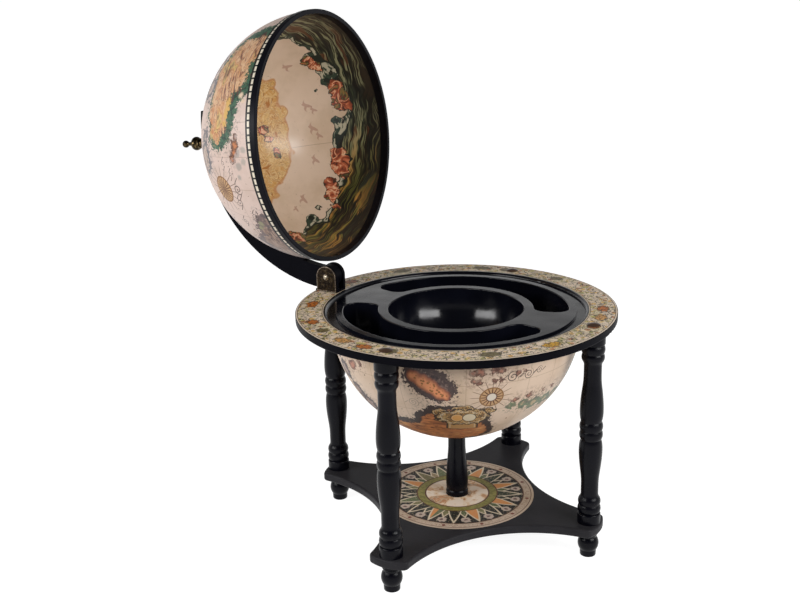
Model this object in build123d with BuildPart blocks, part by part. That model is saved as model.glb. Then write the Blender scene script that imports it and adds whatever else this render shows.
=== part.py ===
from build123d import *
import os
from math import asin, atan2, cos, degrees, hypot, pi, radians, sin, sqrt

# Tabletop globe bar: four turned legs carry a wide ring with a half globe hung in it.  A moulded
# drinks tray fills the ring, and the upper half globe is the lid, hinged at the back on a curved arm.
#
# Frame: millimetres, +Z up, floor at Z = 0, hinge at the back (+Y), lid modelled open.  The origin
# lies on the floor under the middle of the whole open object, so the globe's axis is at Y = axis_y.

# ---- globe and ring ----------------------------------------------------------------------------
globe_radius = 164.5        # outside of the printed paper, on both halves
shell_wall = 3.0            # fibreboard of both halves
paper = 0.3                 # printed paper, on the globe, the ring and the shelf
glue_line = 0.1             # between a shell and the paper on it
ring_top = 317.2            # top of the ring's paper above the floor
ring_width = 45.8           # from the bore, where the lower half hangs, to the outside
ring_board = 10.7           # thickness of the wooden ring
ring_top_round = 0.8
ring_bottom_round = 2.5
ring_bore_fit = 0.1         # round the rim of the lower half
globe_drop = 8.1            # centre of the lower half below the ring's top

# ---- tray --------------------------------------------------------------------------------------
tray_wall = 2.0
lip_width = 2.3             # flat lip beside the ring's paper
rim_gap = 2.5               # channel floor showing round the lid's rim
cove_width = 2.5            # the lip's hollow flank, from the channel up to the lip
cove_radius = 4.8
channel_depth = 4.0         # the channel that takes the lid's rim, below the ring's top
deck_drop = 1.2             # deck below the ring's top
land_width = 10.0           # deck outside the kidney wells
well_width = 45.5           # kidney well, across
web_width = 13.5            # deck between the kidney wells and the round well
well_land_angle = 15.0      # half the deck left at the hinge and at the front, in degrees
well_corner = 17.0          # rounded ends of the kidney wells, in plan
well_depth = 50.0
well_floor_round = 8.0
bowl_depth = 80.0
bowl_floor_round = 74.0     # the bowl is nearly half a ball
deck_edge_round = 1.2
tray_fit = 0.3              # between the tray and the ring's rebate

# ---- lid ---------------------------------------------------------------------------------------
rim_proud = 1.5             # the black band stands proud of the paper
rim_outside = 8.0           # height of the band outside
rim_inside = 11.5           # height of the band inside
rim_floor = 2.5             # thickness of the band across the lid's edge
rim_skin = 0.9              # thickness of the band's inside wall
rim_depth = 3.0             # the band's end face beyond the lid's centre
rim_rest = 0.5              # closed rim above the channel floor
rim_swing = 2.5             # the deck stays this far inside the rim, to let it swing out
strip_height = 7.0          # chequered strip above the band
strip_proud = 0.2
open_angle = 95.8

# ---- hinge -------------------------------------------------------------------------------------
hinge_inset = 19.2          # hinge axis inside the ring's outside
hinge_rise = 20.9           # hinge axis above the ring's top
pin_radius = 3.0
pin_fit = 0.05
cheek_radius = 16.0         # rounded top of the block
cheek_width = 5.0
block_floor = 2.6           # floor of the slot
heel_length = 2.2           # the floor reaches out behind the cheeks
block_round = 0.8
plate_thickness = 1.2
plate_inset = 0.6
plate_border = 1.6
plate_relief = 0.4
washer_thickness = 0.7
washer_radius = 8.0
side_play = 0.1
bush_wall = 1.5
pin_cap_radius = 4.3
pin_cap_height = 2.3
block_screw_offset = 9.5
block_screw_radius = 1.75
block_screw_head = 3.2
block_screw_bite = 8.0
pad_thickness = 0.8
pad_gap = 0.3

# ---- arm and finial ----------------------------------------------------------------------------
arm_width = 31.0
arm_thickness = 11.0
arm_off_hinge = 1.7         # arm's centre off the lid's centre, towards the hinge
arm_off_pole = -6.9         # and towards the pole
pin_inboard = 3.794         # the pin lies this far inside the middle of the arm's width
arm_overrun = 13.2          # the arm runs on past the pole, in degrees
arm_end_round = 2.0
arm_pin_round = 15.0        # the arm's rounded end, about the pin
seat_depth = 0.4            # flat seat for the finial, cut in the arm's edge
bolt_radius = 2.0
hole_fit = 0.1
spacer_radius = 7.0
rim_block_angle = 22.0      # block between arm and lid, from the hinge side
rim_block_length = 16.0
block_glue = 0.1
finial_bead = 9.7
finial_base = 6.6
finial_neck = 2.7
finial_ball = 5.1
finial_bead_height = 15.6   # middle of the bead above the seat
finial_ball_height = 34.7

# ---- stand -------------------------------------------------------------------------------------
leg_inset = 20.0            # leg axes inside the ring's outside
leg_bead = 15.0             # largest radius of the turned legs
leg_neck = 11.3
shelf_top = 48.0
shelf_thickness = 12.0
shelf_margin = 16.6         # the points reach past the leg axes
shelf_lobe = 27.0           # half the width of a point, where its end begins
shelf_lobe_end = 7.0        # length of the bowed end
shelf_rim = 6.4             # shelf left round the printed disc, at the middle of a side
shelf_corner = 8.0
shelf_edge_round = 3.0
disc_radius = 105.0
foot_bulge = 13.7
foot_neck = 10.9
column_bead = 15.1
column_neck = 11.4

# ---- fasteners ---------------------------------------------------------------------------------
leg_screw_radius = 2.5
leg_screw_head = 4.6
leg_screw_bite = 30.0
counterbore_depth = 4.5
head_thickness = 3.2
cap_radius = 8.3
cap_height = 2.8
cap_edge = 0.7              # straight edge of a domed cap
cap_stem = 1.0
foot_bolt_radius = 3.0
foot_bolt_down = 22.0       # bolt inside the foot
foot_bolt_up = 26.0         # and inside the leg
rod_radius = 4.0
nut_height = 5.0
nut_flats = 13.0
rod_washer = 10.0
rod_washer_thickness = 1.6
rod_stand_out = 8.0
pole_washer = 7.0
pole_nut_radius = 4.2

# ---- worked out: radii, from the globe outwards ---------------------------------------------------
shell_outer = globe_radius - paper - glue_line
shell_inner = shell_outer - shell_wall
lining_inner = shell_inner - glue_line - paper
ring_bore = shell_outer + ring_bore_fit
ring_radius = ring_bore + ring_width
rim_outer = globe_radius + rim_proud
rim_inner = shell_inner - glue_line - rim_skin
channel_outer = rim_outer + rim_gap
lip_inner = channel_outer + cove_width
tray_radius = lip_inner + lip_width
rebate_radius = tray_radius + tray_fit
deck_edge = rim_inner - rim_swing
well_outer = deck_edge - land_width
well_inner = well_outer - well_width
bowl_radius = well_inner - web_width
leg_circle = ring_radius - leg_inset
shelf_reach = leg_circle + shelf_margin
shelf_waist = disc_radius + shelf_rim
hinge_y = ring_radius - hinge_inset          # from the globe's axis

# ---- worked out: heights --------------------------------------------------------------------------
board_top = ring_top - paper
board_under = board_top - ring_board
channel_floor = ring_top - channel_depth
rebate_floor = channel_floor - tray_wall
deck = ring_top - deck_drop
globe_centre = ring_top - globe_drop
shelf_under = shelf_top - shelf_thickness
column_top = globe_centre - globe_radius
hinge_z = ring_top + hinge_rise
slot_floor = ring_top + block_floor
landing = slot_floor + pad_thickness + pad_gap     # underside of the open arm, over its stop
closed_centre = channel_floor + rim_rest + rim_depth

# ---- worked out: the open lid ---------------------------------------------------------------------
# Opening turns the lid about the hinge by open_angle, from its closed place over the tray.
turn = radians(open_angle)
pin_side = hinge_y                           # the pin, in the lid's own frame: towards the hinge side
pin_rise = hinge_z - closed_centre           # and towards the pole
open_y = hinge_y - pin_side * cos(turn) - pin_rise * sin(turn)
open_z = hinge_z + pin_side * sin(turn) - pin_rise * cos(turn)
arm_radius = hypot(pin_side - arm_off_hinge, pin_rise - arm_off_pole) + arm_width / 2 + pin_inboard
seat_height = arm_off_pole + sqrt(arm_radius**2 - arm_off_hinge**2) - seat_depth
ball_centre = seat_height + finial_ball_height
open_reach = open_y + ball_centre * sin(turn) + finial_ball
axis_y = -(open_reach - ring_radius) / 2     # the globe's axis in the frame

# ---- planes and axes --------------------------------------------------------------------------
floor_plane = Plane(origin=(0, axis_y, 0))
stand_section = Plane(origin=(0, axis_y, 0), x_dir=(1, 0, 0), z_dir=(0, -1, 0))
stand_axis = Axis((0, axis_y, 0), (0, 0, 1))
hinge_plane = Plane(origin=(0, axis_y + hinge_y, hinge_z), x_dir=(0, 1, 0), z_dir=(1, 0, 0))
lid_centre = (0, axis_y + open_y, open_z)
pole = (0, sin(turn), cos(turn))
hinge_side = (0, cos(turn), -sin(turn))
lid_section = Plane(origin=lid_centre, x_dir=hinge_side, z_dir=(1, 0, 0))
lid_axis = Axis(lid_centre, pole)

os.makedirs("parts", exist_ok=True)


def finish(piece, name):
    """Label a finished piece and write it."""
    piece.label = name
    export_step(piece, f"parts/{name}.step")


def level(height):
    """Horizontal plane at a height, centred on the globe's axis."""
    return floor_plane.offset(height)


def leg_place(angle):
    """Middle of a leg, seen from above, in the frame."""
    return leg_circle * cos(angle), axis_y + leg_circle * sin(angle)


def turning(x, y, height=0.0):
    """Section plane of a turned upright piece: local x out from its axis, local y up."""
    return Plane(origin=(x, y, height), x_dir=(1, 0, 0), z_dir=(0, -1, 0))


def bead(inside, outside, low, high, last=None):
    """Half round bead on a turned profile, between two heights."""
    last = inside if last is None else last
    ThreePointArc((inside, low), (outside, (low + high) / 2), (last, high))


def crown(radius, low, rise):
    """Quarter of a domed top on a turned profile, from its edge up to the axis."""
    ball = (radius**2 + rise**2) / (2 * rise)
    swing = asin(radius / ball) / 2
    ThreePointArc((radius, low), (ball * sin(swing), low + rise - ball * (1 - cos(swing))), (0, low + rise))


def drill(place, radius, amount):
    """Round hole from a plane, along its normal, or against it when the amount is negative."""
    start = Align.MIN if amount > 0 else Align.MAX
    with Locations(place):
        Cylinder(radius, abs(amount), align=(Align.CENTER, Align.CENTER, start), mode=Mode.SUBTRACT)


leg_angles = {"rear": pi / 2, "left": pi, "front": -pi / 2, "right": 0.0}
leg_spots = [leg_place(angle) for angle in leg_angles.values()]


# ---- ring --------------------------------------------------------------------------------------
def make_ring():
    """Wide wooden ring: rebate for the tray, bore for the lower half, counterbored screw holes."""
    with BuildPart() as ring_board_part:
        with BuildSketch(stand_section) as outline:
            with BuildLine():
                Polyline((ring_bore, board_under), (ring_radius, board_under), (ring_radius, board_top),
                         (rebate_radius, board_top), (rebate_radius, rebate_floor),
                         (ring_bore, rebate_floor), close=True)
            make_face()
            low, high = outline.vertices().sort_by(Axis.X)[-2:].sort_by(Axis.Y)
            fillet(low, ring_bottom_round)
            fillet(high, ring_top_round)
        revolve(axis=stand_axis)
        for x, y in leg_spots:
            drill(Plane(origin=(x, y, board_top)), leg_screw_head + 0.2, -counterbore_depth)
            drill(Plane(origin=(x, y, board_top)), leg_screw_radius + hole_fit, -ring_board)
        for side in (-1, 1):
            y = axis_y + hinge_y + side * block_screw_offset
            drill(Plane(origin=(0, y, board_top)), block_screw_radius + hole_fit, -block_screw_bite - 0.4)
    finish(ring_board_part.part, "ring_board")

    with BuildPart() as ring_map:
        with BuildSketch(level(board_top)):
            Circle(ring_radius - ring_top_round)
            Circle(rebate_radius, mode=Mode.SUBTRACT)
        extrude(amount=paper)
        for x, y in leg_spots:
            drill(Plane(origin=(x, y, board_top)), leg_screw_head + 0.2, paper)
        for side in (-1, 1):
            y = axis_y + hinge_y + side * block_screw_offset
            drill(Plane(origin=(0, y, board_top)), block_screw_radius + hole_fit, paper)
    finish(ring_map.part, "ring_map")


# ---- tray --------------------------------------------------------------------------------------
def kidney(middle_angle, outset, depth, floor_round):
    """Kidney-shaped block hanging from the deck, grown by outset, with a rounded floor."""
    span = 180 - 2 * well_land_angle
    start = middle_angle - span / 2
    with BuildPart() as block:
        with BuildSketch(level(deck)) as plan:
            with BuildLine():
                out = CenterArc((0, 0), well_outer, start, span)
                inn = CenterArc((0, 0), well_inner, start, span)
                Line(out @ 0, inn @ 0)
                Line(out @ 1, inn @ 1)
            make_face()
            fillet(plan.vertices(), well_corner)
            if outset:
                offset(amount=outset)
        extrude(amount=-depth)
        fillet(block.faces().sort_by(Axis.Z)[0].edges(), floor_round)
    return block.part


def bowl(outset):
    """Round well under the deck, grown by outset, as a turned solid."""
    side, bottom = bowl_radius + outset, deck - bowl_depth - outset
    curve = bowl_floor_round + outset
    with BuildPart() as body:
        with BuildSketch(stand_section):
            with BuildLine():
                Polyline((0, bottom), (side - curve, bottom))
                RadiusArc((side - curve, bottom), (side, bottom + curve), -curve)
                Polyline((side, bottom + curve), (side, deck), (0, deck), (0, bottom))
            make_face()
        revolve(axis=stand_axis)
    return body.part


def make_tray():
    """Moulded insert: lip on the ring's rebate, channel for the lid's rim, deck and three wells."""
    under = deck - tray_wall
    bowls = [bowl(tray_wall), bowl(0)]
    bodies = [kidney(middle, tray_wall, well_depth + tray_wall, well_floor_round + tray_wall)
              for middle in (0, 180)]
    hollows = [kidney(middle, 0, well_depth, well_floor_round) for middle in (0, 180)]
    with BuildPart() as tray:
        with BuildSketch(stand_section):
            with BuildLine():
                Polyline((0, deck), (deck_edge, deck), (deck_edge + 0.6, channel_floor),
                         (channel_outer, channel_floor))
                RadiusArc((channel_outer, channel_floor), (lip_inner, ring_top), cove_radius)
                Polyline((lip_inner, ring_top), (tray_radius, ring_top), (tray_radius, rebate_floor),
                         (deck_edge - tray_wall, rebate_floor), (deck_edge - tray_wall, under),
                         (0, under), (0, deck))
            make_face()
        revolve(axis=stand_axis)
        add(bowls[0])
        add(bodies)
        add(bowls[1], mode=Mode.SUBTRACT)
        add(hollows, mode=Mode.SUBTRACT)
        brim = tray.faces().filter_by(Axis.Z).filter_by(lambda face: abs(face.center().Z - deck) < 0.01)[0]
        fillet(brim.inner_wires().edges(), deck_edge_round)
    finish(tray.part, "tray")


# ---- lower half globe -----------------------------------------------------------------------------
def half_shell(section, axis, inner, outer, low, high=None):
    """Dome about an axis between two radii, from a height below its centre line to its pole.

    The part beyond the centre line (low < 0) is a short straight wall.  A high value cuts the dome off.
    """
    with BuildPart() as dome:
        with BuildSketch(section):
            with BuildLine():
                if low < 0:
                    Polyline((inner, 0), (inner, low), (outer, low), (outer, 0))
                    start = 0.0
                else:
                    start = low
                    Line((sqrt(inner**2 - start**2), start), (sqrt(outer**2 - start**2), start))
                for radius in (inner, outer):
                    first = (sqrt(radius**2 - start**2), start)
                    last = (0, radius) if high is None else (sqrt(radius**2 - high**2), high)
                    swing = (atan2(first[1], first[0]) + atan2(last[1], last[0])) / 2
                    ThreePointArc(first, (radius * cos(swing), radius * sin(swing)), last)
                if high is None:
                    Line((0, inner), (0, outer))
                else:
                    Line((sqrt(inner**2 - high**2), high), (sqrt(outer**2 - high**2), high))
            make_face()
        revolve(axis=axis)
    return dome


def make_lower_half():
    """Lower half globe, glued in the ring's bore, and the printed paper on it."""
    section = Plane(origin=(0, axis_y, globe_centre), x_dir=(1, 0, 0), z_dir=(0, 1, 0))
    axis = Axis((0, axis_y, globe_centre), (0, 0, -1))
    rim = rebate_floor - tray_fit - globe_centre
    paper_edge = globe_centre - board_under + 0.1
    bottom = Plane(origin=(0, axis_y, globe_centre - globe_radius - 1))
    for name, inner, outer, low in (("lower_shell", shell_inner, shell_outer, -rim),
                                    ("lower_map", shell_outer + glue_line, globe_radius, paper_edge)):
        dome = half_shell(section, axis, inner, outer, low)
        with BuildPart() as piece:
            add(dome.part)
            drill(bottom, rod_radius + hole_fit, globe_radius - inner + 3)
        finish(piece.part, name)


# ---- lid ---------------------------------------------------------------------------------------
def make_lid_shell():
    """Upper half globe with its printed outside and lining, bored at the pole for the bolt."""
    band_top = rim_outside - rim_depth
    lining_edge = rim_inside - rim_depth
    edge = rim_depth - rim_floor - glue_line
    for name, inner, outer, low in (
            ("lid_shell", shell_inner, shell_outer, -edge),
            ("lid_map", shell_outer + glue_line, globe_radius, band_top + strip_height + 0.05),
            ("lid_lining", lining_inner, shell_inner - glue_line, lining_edge + 0.1)):
        dome = half_shell(lid_section, lid_axis, inner, outer, low)
        with BuildPart() as piece:
            add(dome.part)
            drill(Plane(origin=lid_axis.position, x_dir=(1, 0, 0), z_dir=pole).offset(inner - 5),
                  bolt_radius + hole_fit, outer - inner + 10)
        finish(piece.part, name)
    strip = half_shell(lid_section, lid_axis, shell_outer + glue_line, globe_radius + strip_proud,
                       band_top + 0.05, band_top + strip_height)
    finish(strip.part, "chequer_strip")


def make_rim_band():
    """Band that clasps the lid's edge: low wall outside, taller thin wall inside."""
    band_top = rim_outside - rim_depth
    inside_top = rim_inside - rim_depth
    floor_line = rim_floor - rim_depth
    wall_top = sqrt(shell_inner**2 - inside_top**2) - 2 * glue_line
    with BuildPart() as band:
        with BuildSketch(lid_section) as outline:
            with BuildLine():
                Polyline((rim_inner, -rim_depth), (rim_outer, -rim_depth), (rim_outer, band_top),
                         (shell_outer + glue_line, band_top), (shell_outer + glue_line, floor_line),
                         (shell_inner - glue_line, floor_line), (wall_top, inside_top),
                         (wall_top - rim_skin, inside_top), (rim_inner, -rim_depth))
            make_face()
            outer_corners = outline.vertices().sort_by(Axis.X)[-2:]
            fillet(outer_corners, 0.9)
        revolve(axis=lid_axis)
    finish(band.part, "rim_band")


# ---- arm -----------------------------------------------------------------------------------------
def make_arm():
    """Curved wooden arm: rounded on the hinge pin, seated for the finial, blunt past the pole.

    A flat across its underside lands on the stop pad when the lid is open.
    """
    centre = (arm_off_hinge, arm_off_pole)
    inner = arm_radius - arm_width
    start = degrees(atan2(pin_rise - arm_off_pole, pin_side - arm_off_hinge))
    stop = 90 + arm_overrun
    with BuildPart() as arm:
        with BuildSketch(lid_section) as outline:
            with BuildLine():
                out = CenterArc(centre, arm_radius, start, stop - start)
                inn = CenterArc(centre, inner, start, stop - start)
                Line(out @ 0, inn @ 0)
                Line(out @ 1, inn @ 1)
            make_face()
            fillet(outline.vertices().sort_by(Axis.X)[:2], arm_end_round)
            with Locations((pin_side, pin_rise)):
                Circle(arm_pin_round)
                Circle(pin_radius + pin_fit + bush_wall + pin_fit, mode=Mode.SUBTRACT)
        extrude(amount=arm_thickness / 2, both=True)
        with BuildSketch(hinge_plane):
            with Locations((0, landing - hinge_z)):
                Rectangle(2 * arm_width + 40, 20, align=(Align.CENTER, Align.MAX))
        extrude(amount=arm_thickness / 2, both=True, mode=Mode.SUBTRACT)
        pole_plane = Plane(origin=lid_centre, x_dir=(1, 0, 0), z_dir=pole)
        drill(pole_plane.offset(arm_off_pole + inner - 5), bolt_radius + hole_fit, arm_width + 15)
        drill(pole_plane.offset(seat_height), finial_base + 0.4, 5)
    finish(arm.part, "meridian_arm")

    with BuildPart() as bush:
        with BuildSketch(lid_section):
            with Locations((pin_side, pin_rise)):
                Circle(pin_radius + pin_fit + bush_wall)
                Circle(pin_radius + pin_fit, mode=Mode.SUBTRACT)
        extrude(amount=arm_thickness / 2, both=True)
    finish(bush.part, "arm_bush")

    spot = radians(rim_block_angle)
    gap_middle = (globe_radius + inner + hypot(*centre) / 2) / 2
    with BuildPart() as rim_block:
        with BuildSketch(lid_section):
            with Locations(Location((gap_middle * cos(spot), gap_middle * sin(spot)), rim_block_angle)):
                Rectangle(arm_width, rim_block_length)
            with Locations(centre):
                Circle(inner - block_glue, mode=Mode.INTERSECT)
            Circle(globe_radius + block_glue, mode=Mode.SUBTRACT)
        extrude(amount=arm_thickness / 2, both=True)
    finish(rim_block.part, "rim_block")


def make_pole_pieces():
    """What hangs the lid on the arm at the pole: spacer, bolt, washer and nut, and the finial."""
    inner_edge = arm_off_pole + sqrt((arm_radius - arm_width)**2 - (arm_off_hinge + spacer_radius)**2)
    with BuildPart() as spacer:
        with BuildSketch(lid_section):
            with BuildLine():
                low, high = globe_radius + block_glue, inner_edge - block_glue
                Polyline((bolt_radius + hole_fit, low), (spacer_radius, low))
                bead(spacer_radius, spacer_radius - 1.5, low, high)
                Polyline((spacer_radius, high), (bolt_radius + hole_fit, high),
                         (bolt_radius + hole_fit, low))
            make_face()
        revolve(axis=lid_axis)
    finish(spacer.part, "pole_spacer")

    washer_top = lining_inner - 0.2
    bolt_low, bolt_high = washer_top - 7.5, seat_height + 12
    with BuildPart() as bolt:
        with BuildSketch(lid_section):
            with BuildLine():
                Polyline((0, bolt_low), (bolt_radius, bolt_low), (bolt_radius, bolt_high),
                         (0, bolt_high), close=True)
            make_face()
        revolve(axis=lid_axis)
    finish(bolt.part, "finial_bolt")

    with BuildPart() as nut:
        with BuildSketch(lid_section):
            with BuildLine():
                Polyline((bolt_radius + hole_fit, washer_top - 6), (pole_nut_radius - 1, washer_top - 6))
                ThreePointArc((pole_nut_radius - 1, washer_top - 6),
                              (pole_nut_radius - 0.3, washer_top - 5.6), (pole_nut_radius, washer_top - 5))
                Polyline((pole_nut_radius, washer_top - 5), (pole_nut_radius, washer_top - 1),
                         (pole_washer, washer_top - 1), (pole_washer, washer_top),
                         (bolt_radius + hole_fit, washer_top), (bolt_radius + hole_fit, washer_top - 6))
            make_face()
        revolve(axis=lid_axis)
    finish(nut.part, "pole_nut")
    make_finial()


def make_finial():
    """Turned finial: stepped base, flat bead, thin neck and end ball, bored from below."""
    seat = seat_height
    mid, ball = seat + finial_bead_height, seat + finial_ball_height
    join = ball - sqrt(finial_ball**2 - finial_neck**2)
    with BuildPart() as finial:
        with BuildSketch(lid_section):
            with BuildLine():
                Polyline((0, seat), (finial_base, seat), (finial_base, seat + 2.2))
                ThreePointArc((finial_base, seat + 2.2), (finial_base - 1.4, seat + 4.4),
                              (finial_base - 0.8, seat + 7.0))
                Polyline((finial_base - 0.8, seat + 7.0), (finial_base + 0.6, seat + 8.0),
                         (finial_base + 0.6, seat + 9.6), (finial_bead - 2.2, mid - 4.9))
                ThreePointArc((finial_bead - 2.2, mid - 4.9), (finial_bead, mid), (finial_bead - 2.6, mid + 4.6))
                Polyline((finial_bead - 2.6, mid + 4.6), (finial_neck + 1.1, mid + 5.6),
                         (finial_neck + 0.9, mid + 7.0))
                ThreePointArc((finial_neck + 0.9, mid + 7.0), (finial_neck, (mid + 7.0 + join) / 2),
                              (finial_neck, join))
                ThreePointArc((finial_neck, join), (finial_ball, ball), (0, ball + finial_ball))
                Line((0, ball + finial_ball), (0, seat))
            make_face()
        revolve(axis=lid_axis)
        seat_plane = Plane(origin=lid_centre, x_dir=(1, 0, 0), z_dir=pole).offset(seat)
        drill(seat_plane, bolt_radius + hole_fit, 13)
    finish(finial.part, "finial")


# ---- hinge ---------------------------------------------------------------------------------------
slot_half = arm_thickness / 2 + side_play + washer_thickness
block_half = slot_half + cheek_width


def cheek_outline(inset, bottom):
    """Arched outline about the hinge axis, in the hinge plane, flat at the bottom."""
    radius = cheek_radius - inset
    with Locations((0, (bottom - hinge_z) / 2)):
        Rectangle(2 * radius, hinge_z - bottom)
    Circle(radius)


def make_hinge_block():
    """Slotted block: two arched cheeks, a floor with a heel, holes for the pin and the screws."""
    with BuildPart() as block:
        with BuildSketch(hinge_plane):
            cheek_outline(0, ring_top)
            with Locations((cheek_radius + heel_length / 2 - 1, ring_top + block_floor / 2 - hinge_z)):
                Rectangle(heel_length + 2, block_floor)
        extrude(amount=block_half, both=True)
        with BuildSketch(hinge_plane):
            with Locations((0, slot_floor - hinge_z + 50)):
                Rectangle(4 * cheek_radius, 100)
        extrude(amount=slot_half, both=True, mode=Mode.SUBTRACT)
        rims = block.edges().filter_by(GeomType.CIRCLE).filter_by(
            lambda edge: abs(abs(edge.center().X) - block_half) < 0.01 and abs(edge.radius - cheek_radius) < 0.01)
        fillet(rims, block_round)
        drill(hinge_plane.offset(-block_half), pin_radius + pin_fit, 2 * block_half)
        for side in (-1, 1):
            y = axis_y + hinge_y + side * block_screw_offset
            with Locations(Plane(origin=(0, y, slot_floor))):
                CounterSinkHole(block_screw_radius + hole_fit, block_screw_head + 0.1, block_floor)
    finish(block.part, "hinge_block")


def make_hinge_plates():
    """Brass plate on each cheek, with a raised border round an arched field."""
    for name, side in (("hinge_plate_left", -1), ("hinge_plate_right", 1)):
        face = hinge_plane.offset(side * block_half)
        with BuildPart() as plate:
            with BuildSketch(face):
                cheek_outline(plate_inset, ring_top + plate_inset)
            extrude(amount=side * plate_thickness)
            with BuildSketch(face.offset(side * plate_thickness)):
                cheek_outline(plate_inset, ring_top + plate_inset)
                with BuildSketch(mode=Mode.SUBTRACT):
                    cheek_outline(plate_inset + plate_border, ring_top + plate_inset + plate_border)
            extrude(amount=side * plate_relief)
            drill(face, pin_radius + pin_fit, side * (plate_thickness + 1))
        finish(plate.part, name)


def make_hinge_pin():
    """Hinge pin from plate to plate, its two domed caps and the two washers beside the arm."""
    reach = block_half + plate_thickness
    with BuildPart() as pin:
        with BuildSketch(hinge_plane):
            Circle(pin_radius)
        extrude(amount=reach, both=True)
    finish(pin.part, "hinge_pin")

    with BuildPart() as caps:
        for side in (-1, 1):
            cap_section = Plane(origin=(side * reach, axis_y + hinge_y, hinge_z), x_dir=(0, 0, 1),
                                z_dir=(0, side, 0))
            with BuildSketch(cap_section):
                with BuildLine():
                    Polyline((0, 0), (pin_cap_radius, 0), (pin_cap_radius, cap_edge))
                    crown(pin_cap_radius, cap_edge, pin_cap_height - cap_edge)
                    Line((0, pin_cap_height), (0, 0))
                make_face()
            revolve(axis=Axis((0, axis_y + hinge_y, hinge_z), (1, 0, 0)))
    finish(caps.part, "hinge_caps")

    with BuildPart() as washers:
        for side in (-1, 1):
            with BuildSketch(hinge_plane.offset(side * (slot_half - washer_thickness))):
                Circle(washer_radius)
                Circle(pin_radius + pin_fit, mode=Mode.SUBTRACT)
            extrude(amount=side * washer_thickness)
    finish(washers.part, "hinge_washers")


def make_hinge_trim():
    """Countersunk screws through the slot's floor, and the pad that the open arm rests on."""
    head_cone = block_screw_head - block_screw_radius
    with BuildPart() as screws:
        for side in (-1, 1):
            y = axis_y + hinge_y + side * block_screw_offset
            with BuildSketch(turning(0, y)):
                with BuildLine():
                    Polyline((0, slot_floor), (block_screw_head, slot_floor),
                             (block_screw_radius, slot_floor - head_cone),
                             (block_screw_radius, board_top - block_screw_bite + 1.5),
                             (0, board_top - block_screw_bite), (0, slot_floor))
                make_face()
            revolve(axis=Axis((0, y, 0), (0, 0, 1)))
    finish(screws.part, "hinge_screws")

    pad_near = block_screw_offset + block_screw_head + 0.5
    pad_far = cheek_radius + heel_length - 0.4
    with BuildPart() as pad:
        with BuildSketch(Plane(origin=(0, axis_y + hinge_y, slot_floor))):
            with Locations((0, (pad_near + pad_far) / 2)):
                RectangleRounded(arm_thickness - 1, pad_far - pad_near, 1.2)
        extrude(amount=pad_thickness)
    finish(pad.part, "stop_pad")


# ---- legs, feet and their fasteners --------------------------------------------------------------
def leg_half_outline(half):
    """Upper half of a leg's turned outline, heights measured from the leg's middle."""
    groove = leg_bead - 1.6
    low, high = 12.2, half - 42.0
    vase = high - low
    Line((0, 0), (groove + 0.3, 0))
    bead(groove + 0.3, leg_bead, 0, low, groove - 0.2)
    Spline((groove - 0.2, low), (leg_bead + 0.1, low + 0.224 * vase), (leg_neck + 1.5, low + 0.585 * vase),
           (leg_neck, low + 0.852 * vase), tangents=((0.35, 1), (0, 1)))
    Line((leg_neck, low + 0.852 * vase), (leg_neck, high))
    ThreePointArc((leg_neck, half - 42.0), (leg_neck + 0.35, half - 38.5), (leg_neck + 1.5, half - 36.0))
    bead(leg_neck + 1.5, leg_bead - 0.4, half - 36.0, half - 25.6, groove)
    bead(groove, leg_bead, half - 25.6, half - 14.2)
    ThreePointArc((groove, half - 14.2), (leg_bead - 0.4, half - 13.2), (leg_bead, half - 11.6))
    Polyline((leg_bead, half - 11.6), (leg_bead, half), (0, half), (0, 0))


def make_legs():
    """Four turned legs, the same above and below their middle, drilled at both ends."""
    half = (board_under - shelf_top) / 2
    for name, angle in leg_angles.items():
        x, y = leg_place(angle)
        with BuildPart() as leg:
            with BuildSketch(turning(x, y, shelf_top + half)):
                with BuildLine():
                    leg_half_outline(half)
                make_face()
                mirror(about=Plane.XZ)
            revolve(axis=Axis((x, y, 0), (0, 0, 1)))
            drill(Plane(origin=(x, y, board_under)), leg_screw_radius + hole_fit, -leg_screw_bite - 1)
            drill(Plane(origin=(x, y, shelf_top)), foot_bolt_radius + hole_fit, foot_bolt_up + 1)
        finish(leg.part, f"leg_{name}")


def make_feet():
    """Four turned feet under the shelf: plain toe, bulge, neck and flared top."""
    for name, angle in leg_angles.items():
        x, y = leg_place(angle)
        with BuildPart() as foot:
            with BuildSketch(turning(x, y)):
                with BuildLine():
                    Line((0, 0), (foot_neck - 1.9, 0))
                    ThreePointArc((foot_neck - 1.9, 0), (foot_neck - 0.9, 0.5), (foot_neck - 0.5, 1.6))
                    Line((foot_neck - 0.5, 1.6), (foot_neck - 0.2, 8.6))
                    bead(foot_neck - 0.2, foot_bulge, 8.6, 27.0)
                    ThreePointArc((foot_neck - 0.2, 27.0), (foot_neck + 0.6, 30.2), (foot_bulge - 0.9, 32.2))
                    Polyline((foot_bulge - 0.9, 32.2), (foot_bulge - 0.9, shelf_under),
                             (0, shelf_under), (0, 0))
                make_face()
            revolve(axis=Axis((x, y, 0), (0, 0, 1)))
            drill(Plane(origin=(x, y, shelf_under)), foot_bolt_radius + hole_fit, -foot_bolt_down - 1)
        finish(foot.part, f"foot_{name}")


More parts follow.
